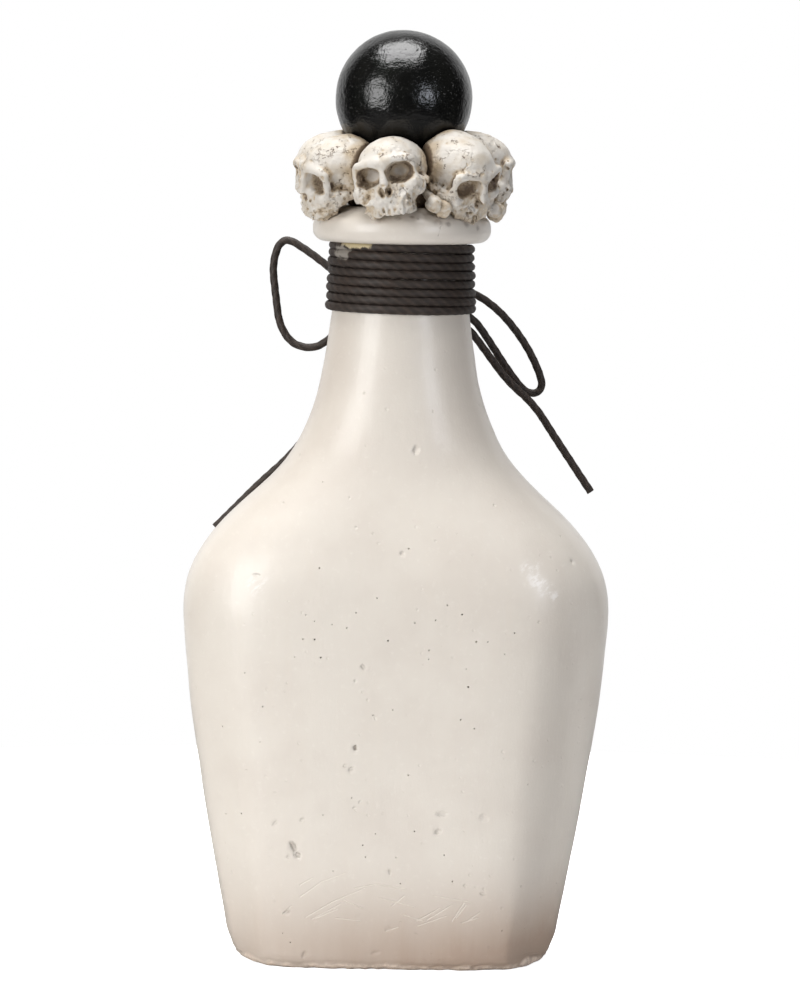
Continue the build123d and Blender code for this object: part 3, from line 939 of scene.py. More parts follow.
dents = []
for x, y, half_width, half_height, depth, tilt, dirt in dent_pixels:
    spot, outwards, face = surface_at((x, y))
    dents.append((spot, outwards, half_width, half_height, depth, math.radians(tilt), dirt))
pinhole_faces = [surface_at(pixel)[2] for pixel in pinhole_pixels]
chance = np.random.default_rng(7)
hidden_marks = 60
well_outside = 80 * mm
for number in range(hidden_marks):
    turn = math.radians(chance.uniform(75, 285))
    level = chance.uniform(4, 112)
    inwards = Vector((-math.sin(turn), math.cos(turn), 0))
    start = Vector((0, 0, level * mm)) - inwards * well_outside
    spot, outwards, face = surface_from(start, inwards)
    if number % 4:
        pinhole_faces.append(face)
    else:
        size = chance.uniform(0.4, 1.1)
        dents.append((spot, outwards, size, size * 0.8, size * 0.4, turn, 0.15))
print("dents in all", len(dents), "and pinholes", len(pinhole_faces))

# %% [markdown]
# ### The cast surface
# Four things move the smooth shell: slow waves from hand rubbing, the two front corners
# and the foot's outer corners that were rubbed down, the dents, and the ragged edge where
# the mould's foot left a thin rim of flash. They could be sculpted by hand, but as sums of
# plain formulas each one keeps its own named depth and can be changed by itself.

# %% Slow waves and the rim of flash
outside = np.zeros(len(flask_rows), bool)
outside[len(under_shares):len(under_shares) + foot_steps + side_rows] = True
height_of = flask_rings[..., 2]
push = 0.10 * grain(flask_rings, 11, 1) + 0.05 * grain(flask_rings, 4.5, 2)
push += 0.012 * grain(flask_rings, 1.3, 3)
push *= smooth_step(height_of, 0.5, 4) * outside[:, None]
hollow = np.zeros(flask_rings.shape[:2])

noise_radius = 30
round_angle = np.arctan2(flask_rings[..., 0], -flask_rings[..., 1])
round_spot = np.stack([np.cos(round_angle), np.sin(round_angle), np.zeros_like(round_angle)], axis=-1)
round_spot = round_spot * noise_radius
flash_top = 1.0 + 0.4 * grain(round_spot, 4.0, 4) + 0.35 * grain(round_spot, 1.3, 5)
below = smooth_step(flash_top - height_of, 0.0, 0.28)
flash = 0.20 + 0.16 * grain(round_spot, 2.1, 6)
push += below * flash * smooth_step(height_of, 0.0, 0.3) * outside[:, None]
edge = np.exp(-(((height_of - flash_top - 0.15) / 0.22) ** 2)) * outside[:, None]
push -= edge * 0.12
hollow += edge * 0.35
print("the outside has", int(outside.sum()), "rows")

# %% The rubbed corners
# The two front corners were rubbed flat, crisply at the foot and softly further up
dual = body_squareness / (body_squareness - 1)
half_width, half_depth = body_size(height_of)[:2]
corner_reach = (half_width**dual + half_depth**dual) ** (1 / dual) * math.sqrt(0.5)
for side, amount in ((1, 1.0), (-1, 0.45)):
    facing = (side * flask_rings[..., 0] - flask_rings[..., 1]) * math.sqrt(0.5)
    excess = facing - (1 - 0.055 * amount) * corner_reach
    soft = 0.25 + 1.7 * smooth_step(height_of, 5, 34)
    cut = np.clip(excess + soft, 0, 2 * soft) ** 2 / (4 * soft) + np.maximum(excess - soft, 0)
    fade = (1 - smooth_step(height_of, 46, 88)) * outside[:, None]
    facing_out = flask_out[..., 0] * side * math.sqrt(0.5) - flask_out[..., 1] * math.sqrt(0.5)
    push -= cut * fade * (facing_out > 0.3)
# The foot's outer corners are rounder than the rest of its edge
corner = smooth_step(np.abs(flask_rings[..., 0]), 22, 30) * (1 - smooth_step(height_of, 0.3, 6.5))
push -= corner * outside[:, None]
print("most rubbed off", round(-push.min(), 2), "mm")


# %% Dents as bowls
def dent_axes(outwards, half_width, half_height, tilt):
    """The directions across and along a dent, each divided by the dent's half size."""
    sideways = np.cross((0, 0, 1), outwards)
    sideways = sideways / np.linalg.norm(sideways)
    upwards = np.cross(outwards, sideways)
    across = (sideways * math.cos(tilt) + upwards * math.sin(tilt)) / half_width
    along = (upwards * math.cos(tilt) - sideways * math.sin(tilt)) / half_height
    return across, along


ragged_edge = 1 + 0.18 * grain(flask_rings, 0.8, 8)
for spot, outwards, half_width, half_height, depth, tilt, dirt in dents:
    gap = flask_rings - spot
    near = np.abs(gap).max(axis=-1) < 3 * max(half_width, half_height)
    across, along = dent_axes(outwards, half_width, half_height, tilt)
    far = np.hypot(gap @ across, gap @ along) * ragged_edge
    bowl = np.clip(1 - far**3, 0, 1)
    rim = np.exp(-(((far - 1.15) / 0.22) ** 2))
    push -= np.where(near & outside[:, None], 0.6 * depth * bowl - 0.08 * depth * rim, 0)
    hollow += np.where(near & outside[:, None], bowl * dirt, 0)
flask_rings = flask_rings + flask_out * push[..., None]
print("most taken off", round(-push.min(), 2), "mm")


# %% [markdown]
# ### Pinholes
# A pinhole is a burst bubble, far smaller than a dent. A dark dot in the paint would do
# from far away, but close up a real hole catches the light on its far side. So each one
# takes the place of a single face: a ring of eight points, a wall and a bottom.

# %% Drilling a hole in place of a face
hole_sides = 8
hole_levels = ((0, 1.0), (0.55, 0.9), (1.0, 0.5))
points_per_hole = len(hole_levels) * hole_sides + 1


def drill(points, faces, chosen, radius_of, depth_share):
    """Replaces each chosen four-sided face by a small round hole with a bottom.

    The radius is a share of the face's shorter side, and the depth a share of the radius."""
    points = [tuple(p) for p in points]
    extra = []
    holes = set()
    for number, face in enumerate(chosen):
        if len(faces[face]) != 4 or face in holes:
            continue
        corners = np.array([points[i] for i in faces[face]])
        centre = corners.mean(axis=0)
        first = corners[1] - corners[0]
        second = corners[3] - corners[0]
        inwards = -np.cross(first, second)
        inwards = inwards / np.linalg.norm(inwards)
        first = first / np.linalg.norm(first)
        second = np.cross(inwards, first) * -1
        room = min(np.linalg.norm(corners[1] - corners[0]), np.linalg.norm(corners[3] - corners[0]))
        radius = radius_of(number) * room
        start = len(points)
        for level, share in hole_levels:
            for step in range(hole_sides):
                angle = math.tau * (step + 0.5) / hole_sides + math.pi
                out = first * math.cos(angle) + second * math.sin(angle)
                sunk = inwards * level * radius * depth_share
                points.append(tuple(centre + out * radius * share + sunk))
        points.append(tuple(centre + inwards * radius * depth_share * 1.1))
        holes.add(face)
        ring = [start + i for i in range(hole_sides)]
        quad = faces[face]
        for corner in range(4):
            low = ring[(2 * corner - 1) % hole_sides]
            high = ring[(2 * corner) % hole_sides]
            beyond = ring[(2 * corner + 1) % hole_sides]
            extra.append((quad[corner], high, low))
            extra.append((quad[corner], quad[(corner + 1) % 4], beyond, high))
        for level in range(len(hole_levels) - 1):
            for step in range(hole_sides):
                a = start + level * hole_sides + step
                b = start + level * hole_sides + (step + 1) % hole_sides
                extra.append((a, b, b + hole_sides, a + hole_sides))
        bottom = start + (len(hole_levels) - 1) * hole_sides
        for step in range(hole_sides):
            extra.append((bottom + step, bottom + (step + 1) % hole_sides, bottom + hole_sides))
    kept = [face for number, face in enumerate(faces) if number not in holes]
    return points, kept + extra, len(holes)


# %% The flask's pinholes, and the dirt in each
flask_points = shell_points(flask_rings)
plain_count = len(flask_points)
sizes_of_holes = np.random.default_rng(3).uniform(0.16, 0.36, len(pinhole_faces))
flask_points, flask_faces, hole_count = drill(
    flask_points, faces, pinhole_faces, lambda number: sizes_of_holes[number], 2.2
)
hollow_values = np.zeros(len(flask_points))
hollow_values[1 : plain_count - 1] = hollow.reshape(-1)
flash_values = np.zeros(len(flask_points))
flash_values[1 : plain_count - 1] = (below * outside[:, None]).reshape(-1)
hole_number, hole_point = np.divmod(np.arange(len(flask_points) - plain_count), points_per_hole)
hole_dirt = np.random.default_rng(4).uniform(0.35, 0.95, hole_count)[hole_number]
hollow_values[plain_count:] = np.where(hole_point < hole_sides, 0.25, hole_dirt)
print("holes", hole_count)


# %% [markdown]
# ### Cream paint
# The paint is chalky cream, rubbed to a satin shine. A thin taupe wash was sprayed round
# the foot and up both sides of the neck, and the right flank is painted greyer as shade.
# Rubbing left faint upright streaks and fine curved scratches above the foot, and foam
# against the mould left small pocks. White streaks on the shoulders are painted highlights.
# All of it could be painted on a flat picture, but layers of noise need no picture and stay
# sharp at any distance.

# %% Where the photograph shows scratches, dirt, painted shoulder highlights and a crack
scratch_pixels = (
    ((300, 897), (321, 882)), ((321, 882), (345, 873)), ((306, 917), (332, 902)), ((332, 902), (365, 888)),
    ((312, 919), (340, 904)), ((417, 921), (440, 908)), ((427, 920), (452, 905)), ((452, 921), (464, 903)),
    ((468, 921), (480, 912)), ((343, 900), (362, 908)), ((392, 906), (404, 896)), ((355, 888), (377, 884)),
    ((377, 884), (405, 889)), ((316, 918), (338, 909)), ((418, 926), (446, 916)), ((456, 918), (466, 905)),
    ((462, 923), (478, 918)), ((380, 898), (414, 907)), ((300, 885), (312, 878)), ((434, 896), (470, 902)),
    ((336, 918), (360, 921)), ((283, 914), (291, 906)), ((404, 915), (422, 921)), ((386, 931), (398, 927)),
)
scratches = [[surface_at(pixel)[0] * mm for pixel in ends] for ends in scratch_pixels]
scratch_width = 0.20 * mm
# Pixel x, pixel y, and how far the dirt reaches
smudge_pixels = (
    (320, 223, 0.45), (412, 217, 0.7), (418, 219, 0.4), (344, 211, 1.2), (330, 216, 0.8), (380, 219, 1.4),
    (398, 218, 1.0), (438, 222, 1.3), (448, 224, 0.9), (466, 223, 1.2), (478, 228, 0.9),
)
smudges = [(surface_at((x, y))[0] * mm, reach * mm) for x, y, reach in smudge_pixels]
# Pixel x, pixel y, and how far each painted highlight on the shoulders reaches
shoulder_highlight_pixels = (
    (529, 569, 2.4), (538, 580, 2.8), (547, 590, 2.4), (535, 566, 2.0), (556, 596, 1.6), (258, 585, 3.0),
)
shoulder_highlights = [(surface_at((x, y))[0] * mm, reach * mm) for x, y, reach in shoulder_highlight_pixels]
crack_pixels = ((441, 226), (438, 236))
crack_ends = [surface_at(pixel)[0] * mm for pixel in crack_pixels]
print("scratches", len(scratches), "smudges", len(smudges), "chalk streaks", len(shoulder_highlights))


# %% Marks on the surface
def groove(tree, place, first, last, width):
    """1 along a short straight scratch, and 0 away from it."""
    length = float(np.linalg.norm(last - first))
    heading = tuple((last - first) / length)
    gap = vector_calc(tree, "SUBTRACT", place, tuple(first))
    along = vector_calc(tree, "DOT_PRODUCT", gap, heading, "Value")
    along = calc(tree, "MINIMUM", calc(tree, "MAXIMUM", along, 0.0), length)
    aside = vector_calc(tree, "DISTANCE", gap, stretched(tree, heading, along), "Value")
    return less(tree, 1.0, rise(tree, aside, 0.0, width))


def smudge(tree, place, spot, reach):
    """1 at a spot, falling to 0 at some distance from it."""
    aside = vector_calc(tree, "DISTANCE", place, tuple(spot), "Value")
    return less(tree, 1.0, rise(tree, aside, 0.2 * reach, reach))


def dent_bowl(tree, place, dent, ragged):
    """1 on the floor of a dent, falling to 0 at its ragged edge."""
    spot, outwards, half_width, half_height, depth, tilt, dirt = dent
    gap = vector_calc(tree, "SUBTRACT", place, tuple(spot * mm))
    across, along = dent_axes(outwards, half_width * mm, half_height * mm, tilt)
    first = vector_calc(tree, "DOT_PRODUCT", gap, tuple(across), "Value")
    second = vector_calc(tree, "DOT_PRODUCT", gap, tuple(along), "Value")
    far = calc(tree, "SQRT", plus(tree, times(tree, first, first), times(tree, second, second)))
    return less(tree, 1.0, rise(tree, plus(tree, far, ragged), 0.2, 1.05))


# %% The wash, the painted shade and highlights, and the dirt
def sprayed_wash(tree, spot, blotch, streaks):
    """How thick the wash lies: most at the foot's lower edge and to the right."""
    wander = times(tree, less(tree, blotch, 0.5), 9 * mm)
    level = plus(tree, spot["Z"], wander)
    foot = less(tree, 1.0, rise(tree, level, 1 * mm, 24 * mm))
    foot = calc(tree, "POWER", foot, 1.4)
    sideways = plus(tree, times(tree, spot["X"], 0.38 / (30 * mm)), 0.88)
    foot = times(tree, foot, sideways)
    foot = times(tree, foot, plus(tree, times(tree, streaks, 0.3), 0.85))
    foot_share = calc(tree, "MINIMUM", foot, 1.0)
    # The same wash, thinner, up both sides of the neck
    aside = calc(tree, "ABSOLUTE", spot["X"])
    neck = times(tree, rise(tree, level, 80 * mm, 104 * mm), rise(tree, aside, 4 * mm, 13 * mm))
    neck = times(tree, neck, less(tree, 1.0, rise(tree, spot["Z"], 128 * mm, 134 * mm)))
    return calc(tree, "MAXIMUM", foot_share, times(tree, neck, 0.13))


def painted_flank_shade(tree, spot):
    """Painted shade down the right flank, greyer, fading again at its outer edge."""
    flank = less(tree, 1.0, rise(tree, spot["Z"], 62 * mm, 84 * mm))
    flank_shade = times(tree, rise(tree, spot["X"], 14 * mm, 32 * mm), flank)
    return times(tree, flank_shade, less(tree, 1.0, rise(tree, spot["X"], 30 * mm, 35 * mm)))


def lip_dirt(tree, place):
    """Dirt on the lip under the skulls, and in a crack across it."""
    dirt = strongest(tree, [smudge(tree, place, spot, reach) for spot, reach in smudges])
    dirt = times(tree, dirt, rise(tree, noise(tree, place, 1.1 * mm, 3.0, 0.6), 0.2, 0.75))
    crack = groove(tree, place, *crack_ends, 0.14 * mm)
    return calc(tree, "MAXIMUM", times(tree, dirt, 0.6), times(tree, crack, 0.6))


def painted_shoulder_highlights(tree, place):
    """Slanting white streaks on the shoulders: painted highlights."""
    inputs = {"Vector": place, "Rotation": (0, math.radians(38), 0)}
    slanted = put(tree, "ShaderNodeMapping", inputs).outputs[0]
    highlight_streaks = noise(tree, slanted, 1.0 * mm, 4.0, 0.7, (0.3, 1, 1))
    painted_highlight = strongest(tree, [smudge(tree, place, spot, reach) for spot, reach in shoulder_highlights])
    return times(tree, painted_highlight, rise(tree, highlight_streaks, 0.44, 0.66))


# %% The paint's bumps
def cream_bumps(tree, place, mottle, marks):
    """Grain, scratches, pocks and the floors of the dents that the photograph shows."""
    fine = noise(tree, place, 0.45 * mm, 3.0, 0.6)
    rubbed = noise(tree, place, 1.6 * mm, 3.0, 0.6, (1, 1, 0.3))
    bumps = plus(tree, times(tree, fine, 0.25), rubbed)
    bumps = less(tree, bumps, times(tree, marks, 1.6))
    # Small pocks in patches, left by foam against the mould
    inputs = {"Vector": place, "Scale": 1 / (2.3 * mm)}
    cell = put(tree, "ShaderNodeTexVoronoi", inputs).outputs["Distance"]
    pocks = less(tree, 1.0, rise(tree, plus(tree, cell, times(tree, fine, 0.1)), 0.08, 0.22))
    pocks = times(tree, pocks, rise(tree, noise(tree, place, 7 * mm, 2.0), 0.44, 0.62))
    bumps = less(tree, bumps, times(tree, pocks, 1.5))
    ragged = times(tree, less(tree, mottle, 0.5), 1.1)
    for dent in dents[:len(dent_pixels)]:
        bowl = dent_bowl(tree, place, dent, ragged)
        depth = dent[4]
        bumps = less(tree, bumps, times(tree, bowl, depth * 6.5))
    return bumps


# %% The flask's material
def cream_material():
    made, tree, shader, place = start_material("cream_paint")
    spot = put(tree, "ShaderNodeSeparateXYZ", {0: place}).outputs
    blotch = noise(tree, place, 14 * mm, 3.0)
    streaks = noise(tree, place, 2.4 * mm, 3.0, 0.6, (1, 1, 0.06))
    mottle = noise(tree, place, 1.1 * mm, 4.0, 0.6)
    colour = mix(tree, rise(tree, blotch, 0.35, 0.7), paint(220, 212, 201), paint(215, 206, 195))
    colour = glaze(tree, colour, rise(tree, streaks, 0.5, 0.75), 0.20, paint(218, 208, 195))
    colour = glaze(tree, colour, rise(tree, mottle, 0.55, 0.8), 0.25, paint(236, 231, 221))
    wash = sprayed_wash(tree, spot, blotch, streaks)
    colour = mix(tree, wash, colour, (0.62, 0.51, 0.445, 1), "MULTIPLY")
    # Painted shade: the right flank is painted greyer where it turns away from the light
    flank_shade = times(tree, painted_flank_shade(tree, spot), 0.30)
    colour = mix(tree, flank_shade, colour, (0.66, 0.64, 0.62, 1), "MULTIPLY")
    # The thin rim of flash under the foot was rubbed bare again
    rim = times(tree, attribute(tree, "flash"), rise(tree, mottle, 0.28, 0.65))
    colour = mix(tree, rim, colour, paint(224, 206, 189))
    # Dirt lies in dents and pinholes too
    deep = attribute(tree, "hollow")
    colour = mix(tree, rise(tree, deep, 0.25, 1.0), colour, paint(124, 110, 96))
    colour = mix(tree, lip_dirt(tree, place), colour, paint(112, 94, 78))
    # Painted highlights: white streaks on both shoulders, most on the right
    colour = glaze(tree, colour, painted_shoulder_highlights(tree, place), 0.6, paint(244, 240, 236))
    marks = strongest(tree, [groove(tree, place, *ends, scratch_width) for ends in scratches])
    colour = glaze(tree, colour, marks, 0.45, paint(240, 231, 218))
    tree.links.new(colour, shader.inputs["Base Color"])
    tree.links.new(plus(tree, times(tree, blotch, 0.16), 0.30), shader.inputs["Roughness"])
    shader.inputs["Coat Weight"].default_value = 0.22
    shader.inputs["Coat Roughness"].default_value = 0.18
    raise_by(tree, shader, cream_bumps(tree, place, mottle, marks), 0.06 * mm)
    return made


cream_finish = cream_material()
flask_values = {"hollow": hollow_values, "flash": flash_values}
flask = mesh_piece("bottle_shell", np.array(flask_points) * mm, flask_faces, cream_finish, flask_values)
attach(flask, "flask")
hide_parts("bottle")

# %% [markdown]
# ## The skulls
# All seven came out of one mould, so the shape is worked out once, as a field of
# distances: below zero inside the bone, above zero outside. Soft unions of eggs and rods
# build up the braincase, brow, cheeks and teeth, and soft cuts hollow the eyes, nose and
# temples. A net of small squares is then drawn over the zero surface. A field is the
# natural choice here, because clay-like blends and erosion are one line each.

# %% Shapes as fields of distance, in millimetres
def egg(places, centre, radii):
    """An ellipsoid."""
    scaled = (places - np.array(centre)) / np.array(radii)
    reach = np.linalg.norm(scaled, axis=-1)
    slope = np.linalg.norm(scaled / np.array(radii), axis=-1)
    return reach * (reach - 1) / np.maximum(slope, 1e-6)


def pebble(places, centre, radii, power):
    """A squared-off ellipsoid: power 2 is round, more is nearer a box."""
    scaled = np.abs((places - np.array(centre)) / np.array(radii))
    reach = (scaled**power).sum(axis=-1) ** (1 / power)
    return (reach - 1) * min(radii)


def rod(places, first, last, first_radius, last_radius):
    """A round rod that may taper, with round ends."""
    first = np.array(first, float)
    axis = np.array(last, float) - first
    share = np.clip((places - first) @ axis / (axis @ axis), 0, 1)
    gap = np.linalg.norm(places - first - share[..., None] * axis, axis=-1)
    return gap - (first_radius + (last_radius - first_radius) * share)


def unite(first, second, soft):
    """Joins two fields with a fillet."""
    share = np.clip(0.5 + 0.5 * (second - first) / soft, 0, 1)
    return second + (first - second) * share - soft * share * (1 - share)


def carve(body, tool, soft):
    """Cuts one field out of another with a rounded edge."""
    return -unite(-body, tool, soft)


# %% [markdown]
# ### From a field to a mesh
# Blender's own remeshing would do for a lump, but it knows nothing of these fields and
# would round off teeth and sockets. Here one point is set in every small cube that the
# surface passes through, in the middle of the places where it crosses the cube's edges,
# and a face joins the points of each four cubes round a crossed edge.

# %% A net of squares over the zero surface
def net(field, low, step):
    """The points and faces of a closed net round where a field is below zero."""
    inside = field < 0
    cells = np.array(field.shape) - 1
    total = np.zeros((*cells, 3))
    count = np.zeros(cells)
    for axis in range(3):
        others = [other for other in range(3) if other != axis]
        for first in (0, 1):
            for second in (0, 1):
                near = [slice(0, size) for size in cells]
                # The valleys between the plies are painted darker, as shade, and the crests a little
                # browner and duller, with short fibres along each ply. A plain noise would run straight
                # through the twist. So the tree above stores how far along and how far round each point is,
                # and the fibres follow those two values.
                near[others[0]] = slice(first, first + cells[others[0]])
                near[others[1]] = slice(second, second + cells[others[1]])
                far = list(near)
                far[axis] = slice(1, cells[axis] + 1)
                here = field[tuple(near)]
                there = field[tuple(far)]
                crossed = (here < 0) != (there < 0)
                share = np.where(crossed, here / np.where(crossed, here - there, 1), 0)
                count += crossed
                total[..., axis] += share
                total[..., others[0]] += crossed * first
                total[..., others[1]] += crossed * second
    used = count > 0
    number = np.full(tuple(cells), -1)
    number[used] = np.arange(used.sum())
    points = low + (np.argwhere(used) + total[used] / count[used][:, None]) * step
    faces = []
    for axis in range(3):
        second, third = (axis + 1) % 3, (axis + 2) % 3
        inner = [slice(1, size) for size in cells]
        inner[axis] = slice(0, cells[axis])
        beyond = list(inner)
        beyond[axis] = slice(1, cells[axis] + 1)
        here = inside[tuple(inner)]
        there = inside[tuple(beyond)]
        corners = []
        for back_second, back_third in ((0, 0), (1, 0), (1, 1), (0, 1)):
            part = list(inner)
            part[second] = slice(1 - back_second, cells[second] - back_second)
            part[third] = slice(1 - back_third, cells[third] - back_third)
            corners.append(number[tuple(part)])
        out = here & ~there
        back = there & ~here
        faces.append(np.stack([corner[out] for corner in corners], axis=-1))
        faces.append(np.stack([corner[back] for corner in corners[::-1]], axis=-1))
    return points, np.concatenate(faces)


# %% Reading a field between its grid points, to find what lies in a hollow
def sample(field, low, step, places):
    """A field's values at any places inside its box."""
    spot = np.clip((places - low) / step, 0, np.array(field.shape) - 1.001)
    base = np.floor(spot).astype(int)
    share = spot - base
    total = np.zeros(len(places))
    for corner in np.ndindex(2, 2, 2):
        weight = np.prod(np.where(np.array(corner) == 1, share, 1 - share), axis=-1)
        index = base + np.array(corner)
        total += weight * field[index[:, 0], index[:, 1], index[:, 2]]
    return total


def shelter(field, low, step, points):
    """How sheltered each surface point is, from 0 in the open to 1 deep in a hollow."""
    slope = []
    for axis in range(3):
        nudge = np.zeros(3)
        nudge[axis] = step
        slope.append(sample(field, low, step, points + nudge) - sample(field, low, step, points - nudge))
    outwards = np.stack(slope, axis=-1)
    outwards /= np.maximum(np.linalg.norm(outwards, axis=-1, keepdims=True), 1e-9)
    total = np.zeros(len(points))
    for reach, weight in ((0.35, 0.9), (0.8, 0.75), (1.6, 0.5)):
        open_reach = sample(field, low, step, points + outwards * reach)
        total += weight * np.clip(1 - open_reach / reach, 0, 1)
    return np.clip(total / 1.5, 0, 1)


# %% [markdown]
# ### One skull as it leaves the mould
# Its middle is at the origin and its face looks along -Y. The braincase is two eggs, a
# wide one behind and a narrower one for the forehead. Everything in pairs is made once,
# from the distance to the middle plane.

# %% The mould
mould_step = 0.16
mould_low = np.array([-7.9, -9.4, -9.2])
mould_counts = (99, 113, 106)


def mould_field(places):
    """The distance field of one clean skull."""
    paired = places.copy()
    paired[..., 0] = np.abs(paired[..., 0])
    body = egg(places, (0, 1.3, 0.9), (6.5, 6.2, 5.8))
    body = unite(body, egg(places, (0, -2.2, 1.7), (5.3, 5.2, 4.8)), 1.6)
    body = unite(body, egg(places, (0, 2.6, -2.0), (5.0, 4.3, 3.4)), 1.2)
    # Shallow temples behind the eyes
    body = carve(body, egg(paired, (7.7, -3.7, -0.2), (2.3, 2.7, 2.8)), 1.3)
    # The face: a broad lump of upper jaw, cheekbones and one thick brow
    body = unite(body, egg(places, (0, -4.0, -3.2), (4.2, 3.6, 3.6)), 0.9)
    body = unite(body, pebble(places, (0, -4.3, -5.2), (4.5, 3.1, 2.3), 3.2), 0.9)
    body = unite(body, egg(paired, (4.7, -3.6, -2.9), (1.9, 2.9, 2.0)), 1.0)
    body = unite(body, egg(paired, (4.6, -5.6, -2.5), (1.5, 1.2, 1.3)), 0.8)
    body = unite(body, rod(paired, (5.4, -4.4, -2.6), (6.0, 0.0, -2.2), 0.9, 0.8), 0.9)
    body = unite(body, rod(paired, (0.8, -7.0, 2.2), (4.6, -5.8, 2.3), 0.9, 0.75), 1.0)
    body = unite(body, rod(paired, (5.2, -5.3, 1.8), (5.2, -5.1, -2.2), 0.75, 0.85), 0.7)
    # The bite under the skull, behind the jaw
    under = -(places[..., 2] + 4.9 - 0.25 * np.maximum(places[..., 1] + 1.5, 0))
    behind_jaw = np.minimum(under, places[..., 1] + 2.2)
    body = carve(body, -behind_jaw, 1.0)
    # Nose ridge, eye sockets with a floor, and nostrils
    body = unite(body, rod(places, (0, -6.9, 1.6), (0, -7.9, -2.4), 0.8, 0.85), 0.7)
    body = carve(body, pebble(paired, (3.0, -7.2, -0.1), (2.25, 2.7, 1.8), 2.5), 0.35)
    body = carve(body, egg(paired, (2.8, -5.9, 0.1), (2.0, 2.6, 1.6)), 0.7)
    body = carve(body, egg(paired, (0.62, -8.1, -3.3), (0.5, 1.3, 0.8)), 0.25)
    # The gum line, and one blunt tooth after another along it
    for number in range(6):
        bend = math.radians(14 * number + 7)
        centre = (4.0 * math.sin(bend), -3.9 - 3.3 * math.cos(bend), -6.5)
        body = unite(body, egg(paired, centre, (0.52, 0.6, 1.0)), 0.3)
    # The roof of the mouth
    body = carve(body, egg(places, (0, -3.7, -8.0), (2.7, 2.5, 1.8)), 0.4)
    return body


axes = [low + mould_step * np.arange(count) for low, count in zip(mould_low, mould_counts)]
mould_places = np.stack(np.meshgrid(*axes, indexing="ij"), axis=-1)
mould = mould_field(mould_places)
mould_high = mould_low + mould_step * (np.array(mould_counts) - 1)
print("mould field", mould.shape, "bone share", round(float((mould < 0).mean()), 3))

# %% [markdown]
# ### Casting and placing the seven
# Every cast is a little different: it is eroded by its own noise, most at the teeth. It
# is then set at the model's own place, turn, tilt and nod, and hollowed where the lip,
# the resin collar, the ball and its neighbours need room.

# %% The ring of skulls
skull_middle_height = 147.2
ring_radius = 12.8
skull_drops = (1.0, 0.1, 0, 0.4, 0.1, 0.3, 0.9)
skull_azimuths = (-9, 50, 100, 151, 202, 252, 300)
skull_turns = (-4, -1, 5, -5, 6, 3, -11)
skull_tilts = (12, 11, 3, -6, 5, -3, -18)
skull_nods = (1, 26, 10, 14, -2, 12, 10)
skull_gap = 0.12
collar_radius = 10.5
ball_radius = 12.7
ball_height = 159.85
print("skulls in the ring", len(skull_azimuths))


def seat_field(places):
    """The space of lip, collar and ball, which the skulls stand clear of."""
    out = np.hypot(places[..., 0], places[..., 1])
    lip_heights = (133, 135.6, 138.0, 140.0, 140.4)
    lip_line = np.interp(places[..., 2], lip_heights, (16.5, 16.5, 15.7, 12.6, 10.6))
    lip = np.maximum(out - lip_line, places[..., 2] - 140.1) * 0.85
    collar = np.maximum(out - collar_radius, places[..., 2] - skull_middle_height)
    ball = np.linalg.norm(places - np.array((0, 0, ball_height)), axis=-1) - ball_radius
    return np.minimum(np.minimum(lip, collar), ball)


def skull_axes(number):
    """Where a skull's middle stands in the ring, and how it is turned."""
    azimuth = math.radians(skull_azimuths[number])
    turned = azimuth + math.radians(skull_turns[number])
    nod = Matrix.Rotation(math.radians(skull_nods[number]), 3, "X")
    tilt = Matrix.Rotation(-math.radians(skull_tilts[number]), 3, "Y")
    turn = Matrix.Rotation(turned, 3, "Z")
    height = skull_middle_height - skull_drops[number]
    centre = np.array((ring_radius * math.sin(azimuth), -ring_radius * math.cos(azimuth), height))
    return centre, np.array(turn @ nod @ tilt)


def wedge_field(places, number):
    """Distance outside a skull's own share of the ring."""
    azimuths = [math.radians(a) for a in skull_azimuths]
    last = len(azimuths) - 1
    before = azimuths[number - 1] - (math.tau if number == 0 else 0)
    after = azimuths[(number + 1) % len(azimuths)] + (math.tau if number == last else 0)
    low_side = (before + azimuths[number]) / 2
    high_side = (azimuths[number] + after) / 2
    low_gap = -(places[..., 0] * math.cos(low_side) + places[..., 1] * math.sin(low_side))
    high_gap = places[..., 0] * math.cos(high_side) + places[..., 1] * math.sin(high_side)
    return np.maximum(low_gap, high_gap) + skull_gap / 2


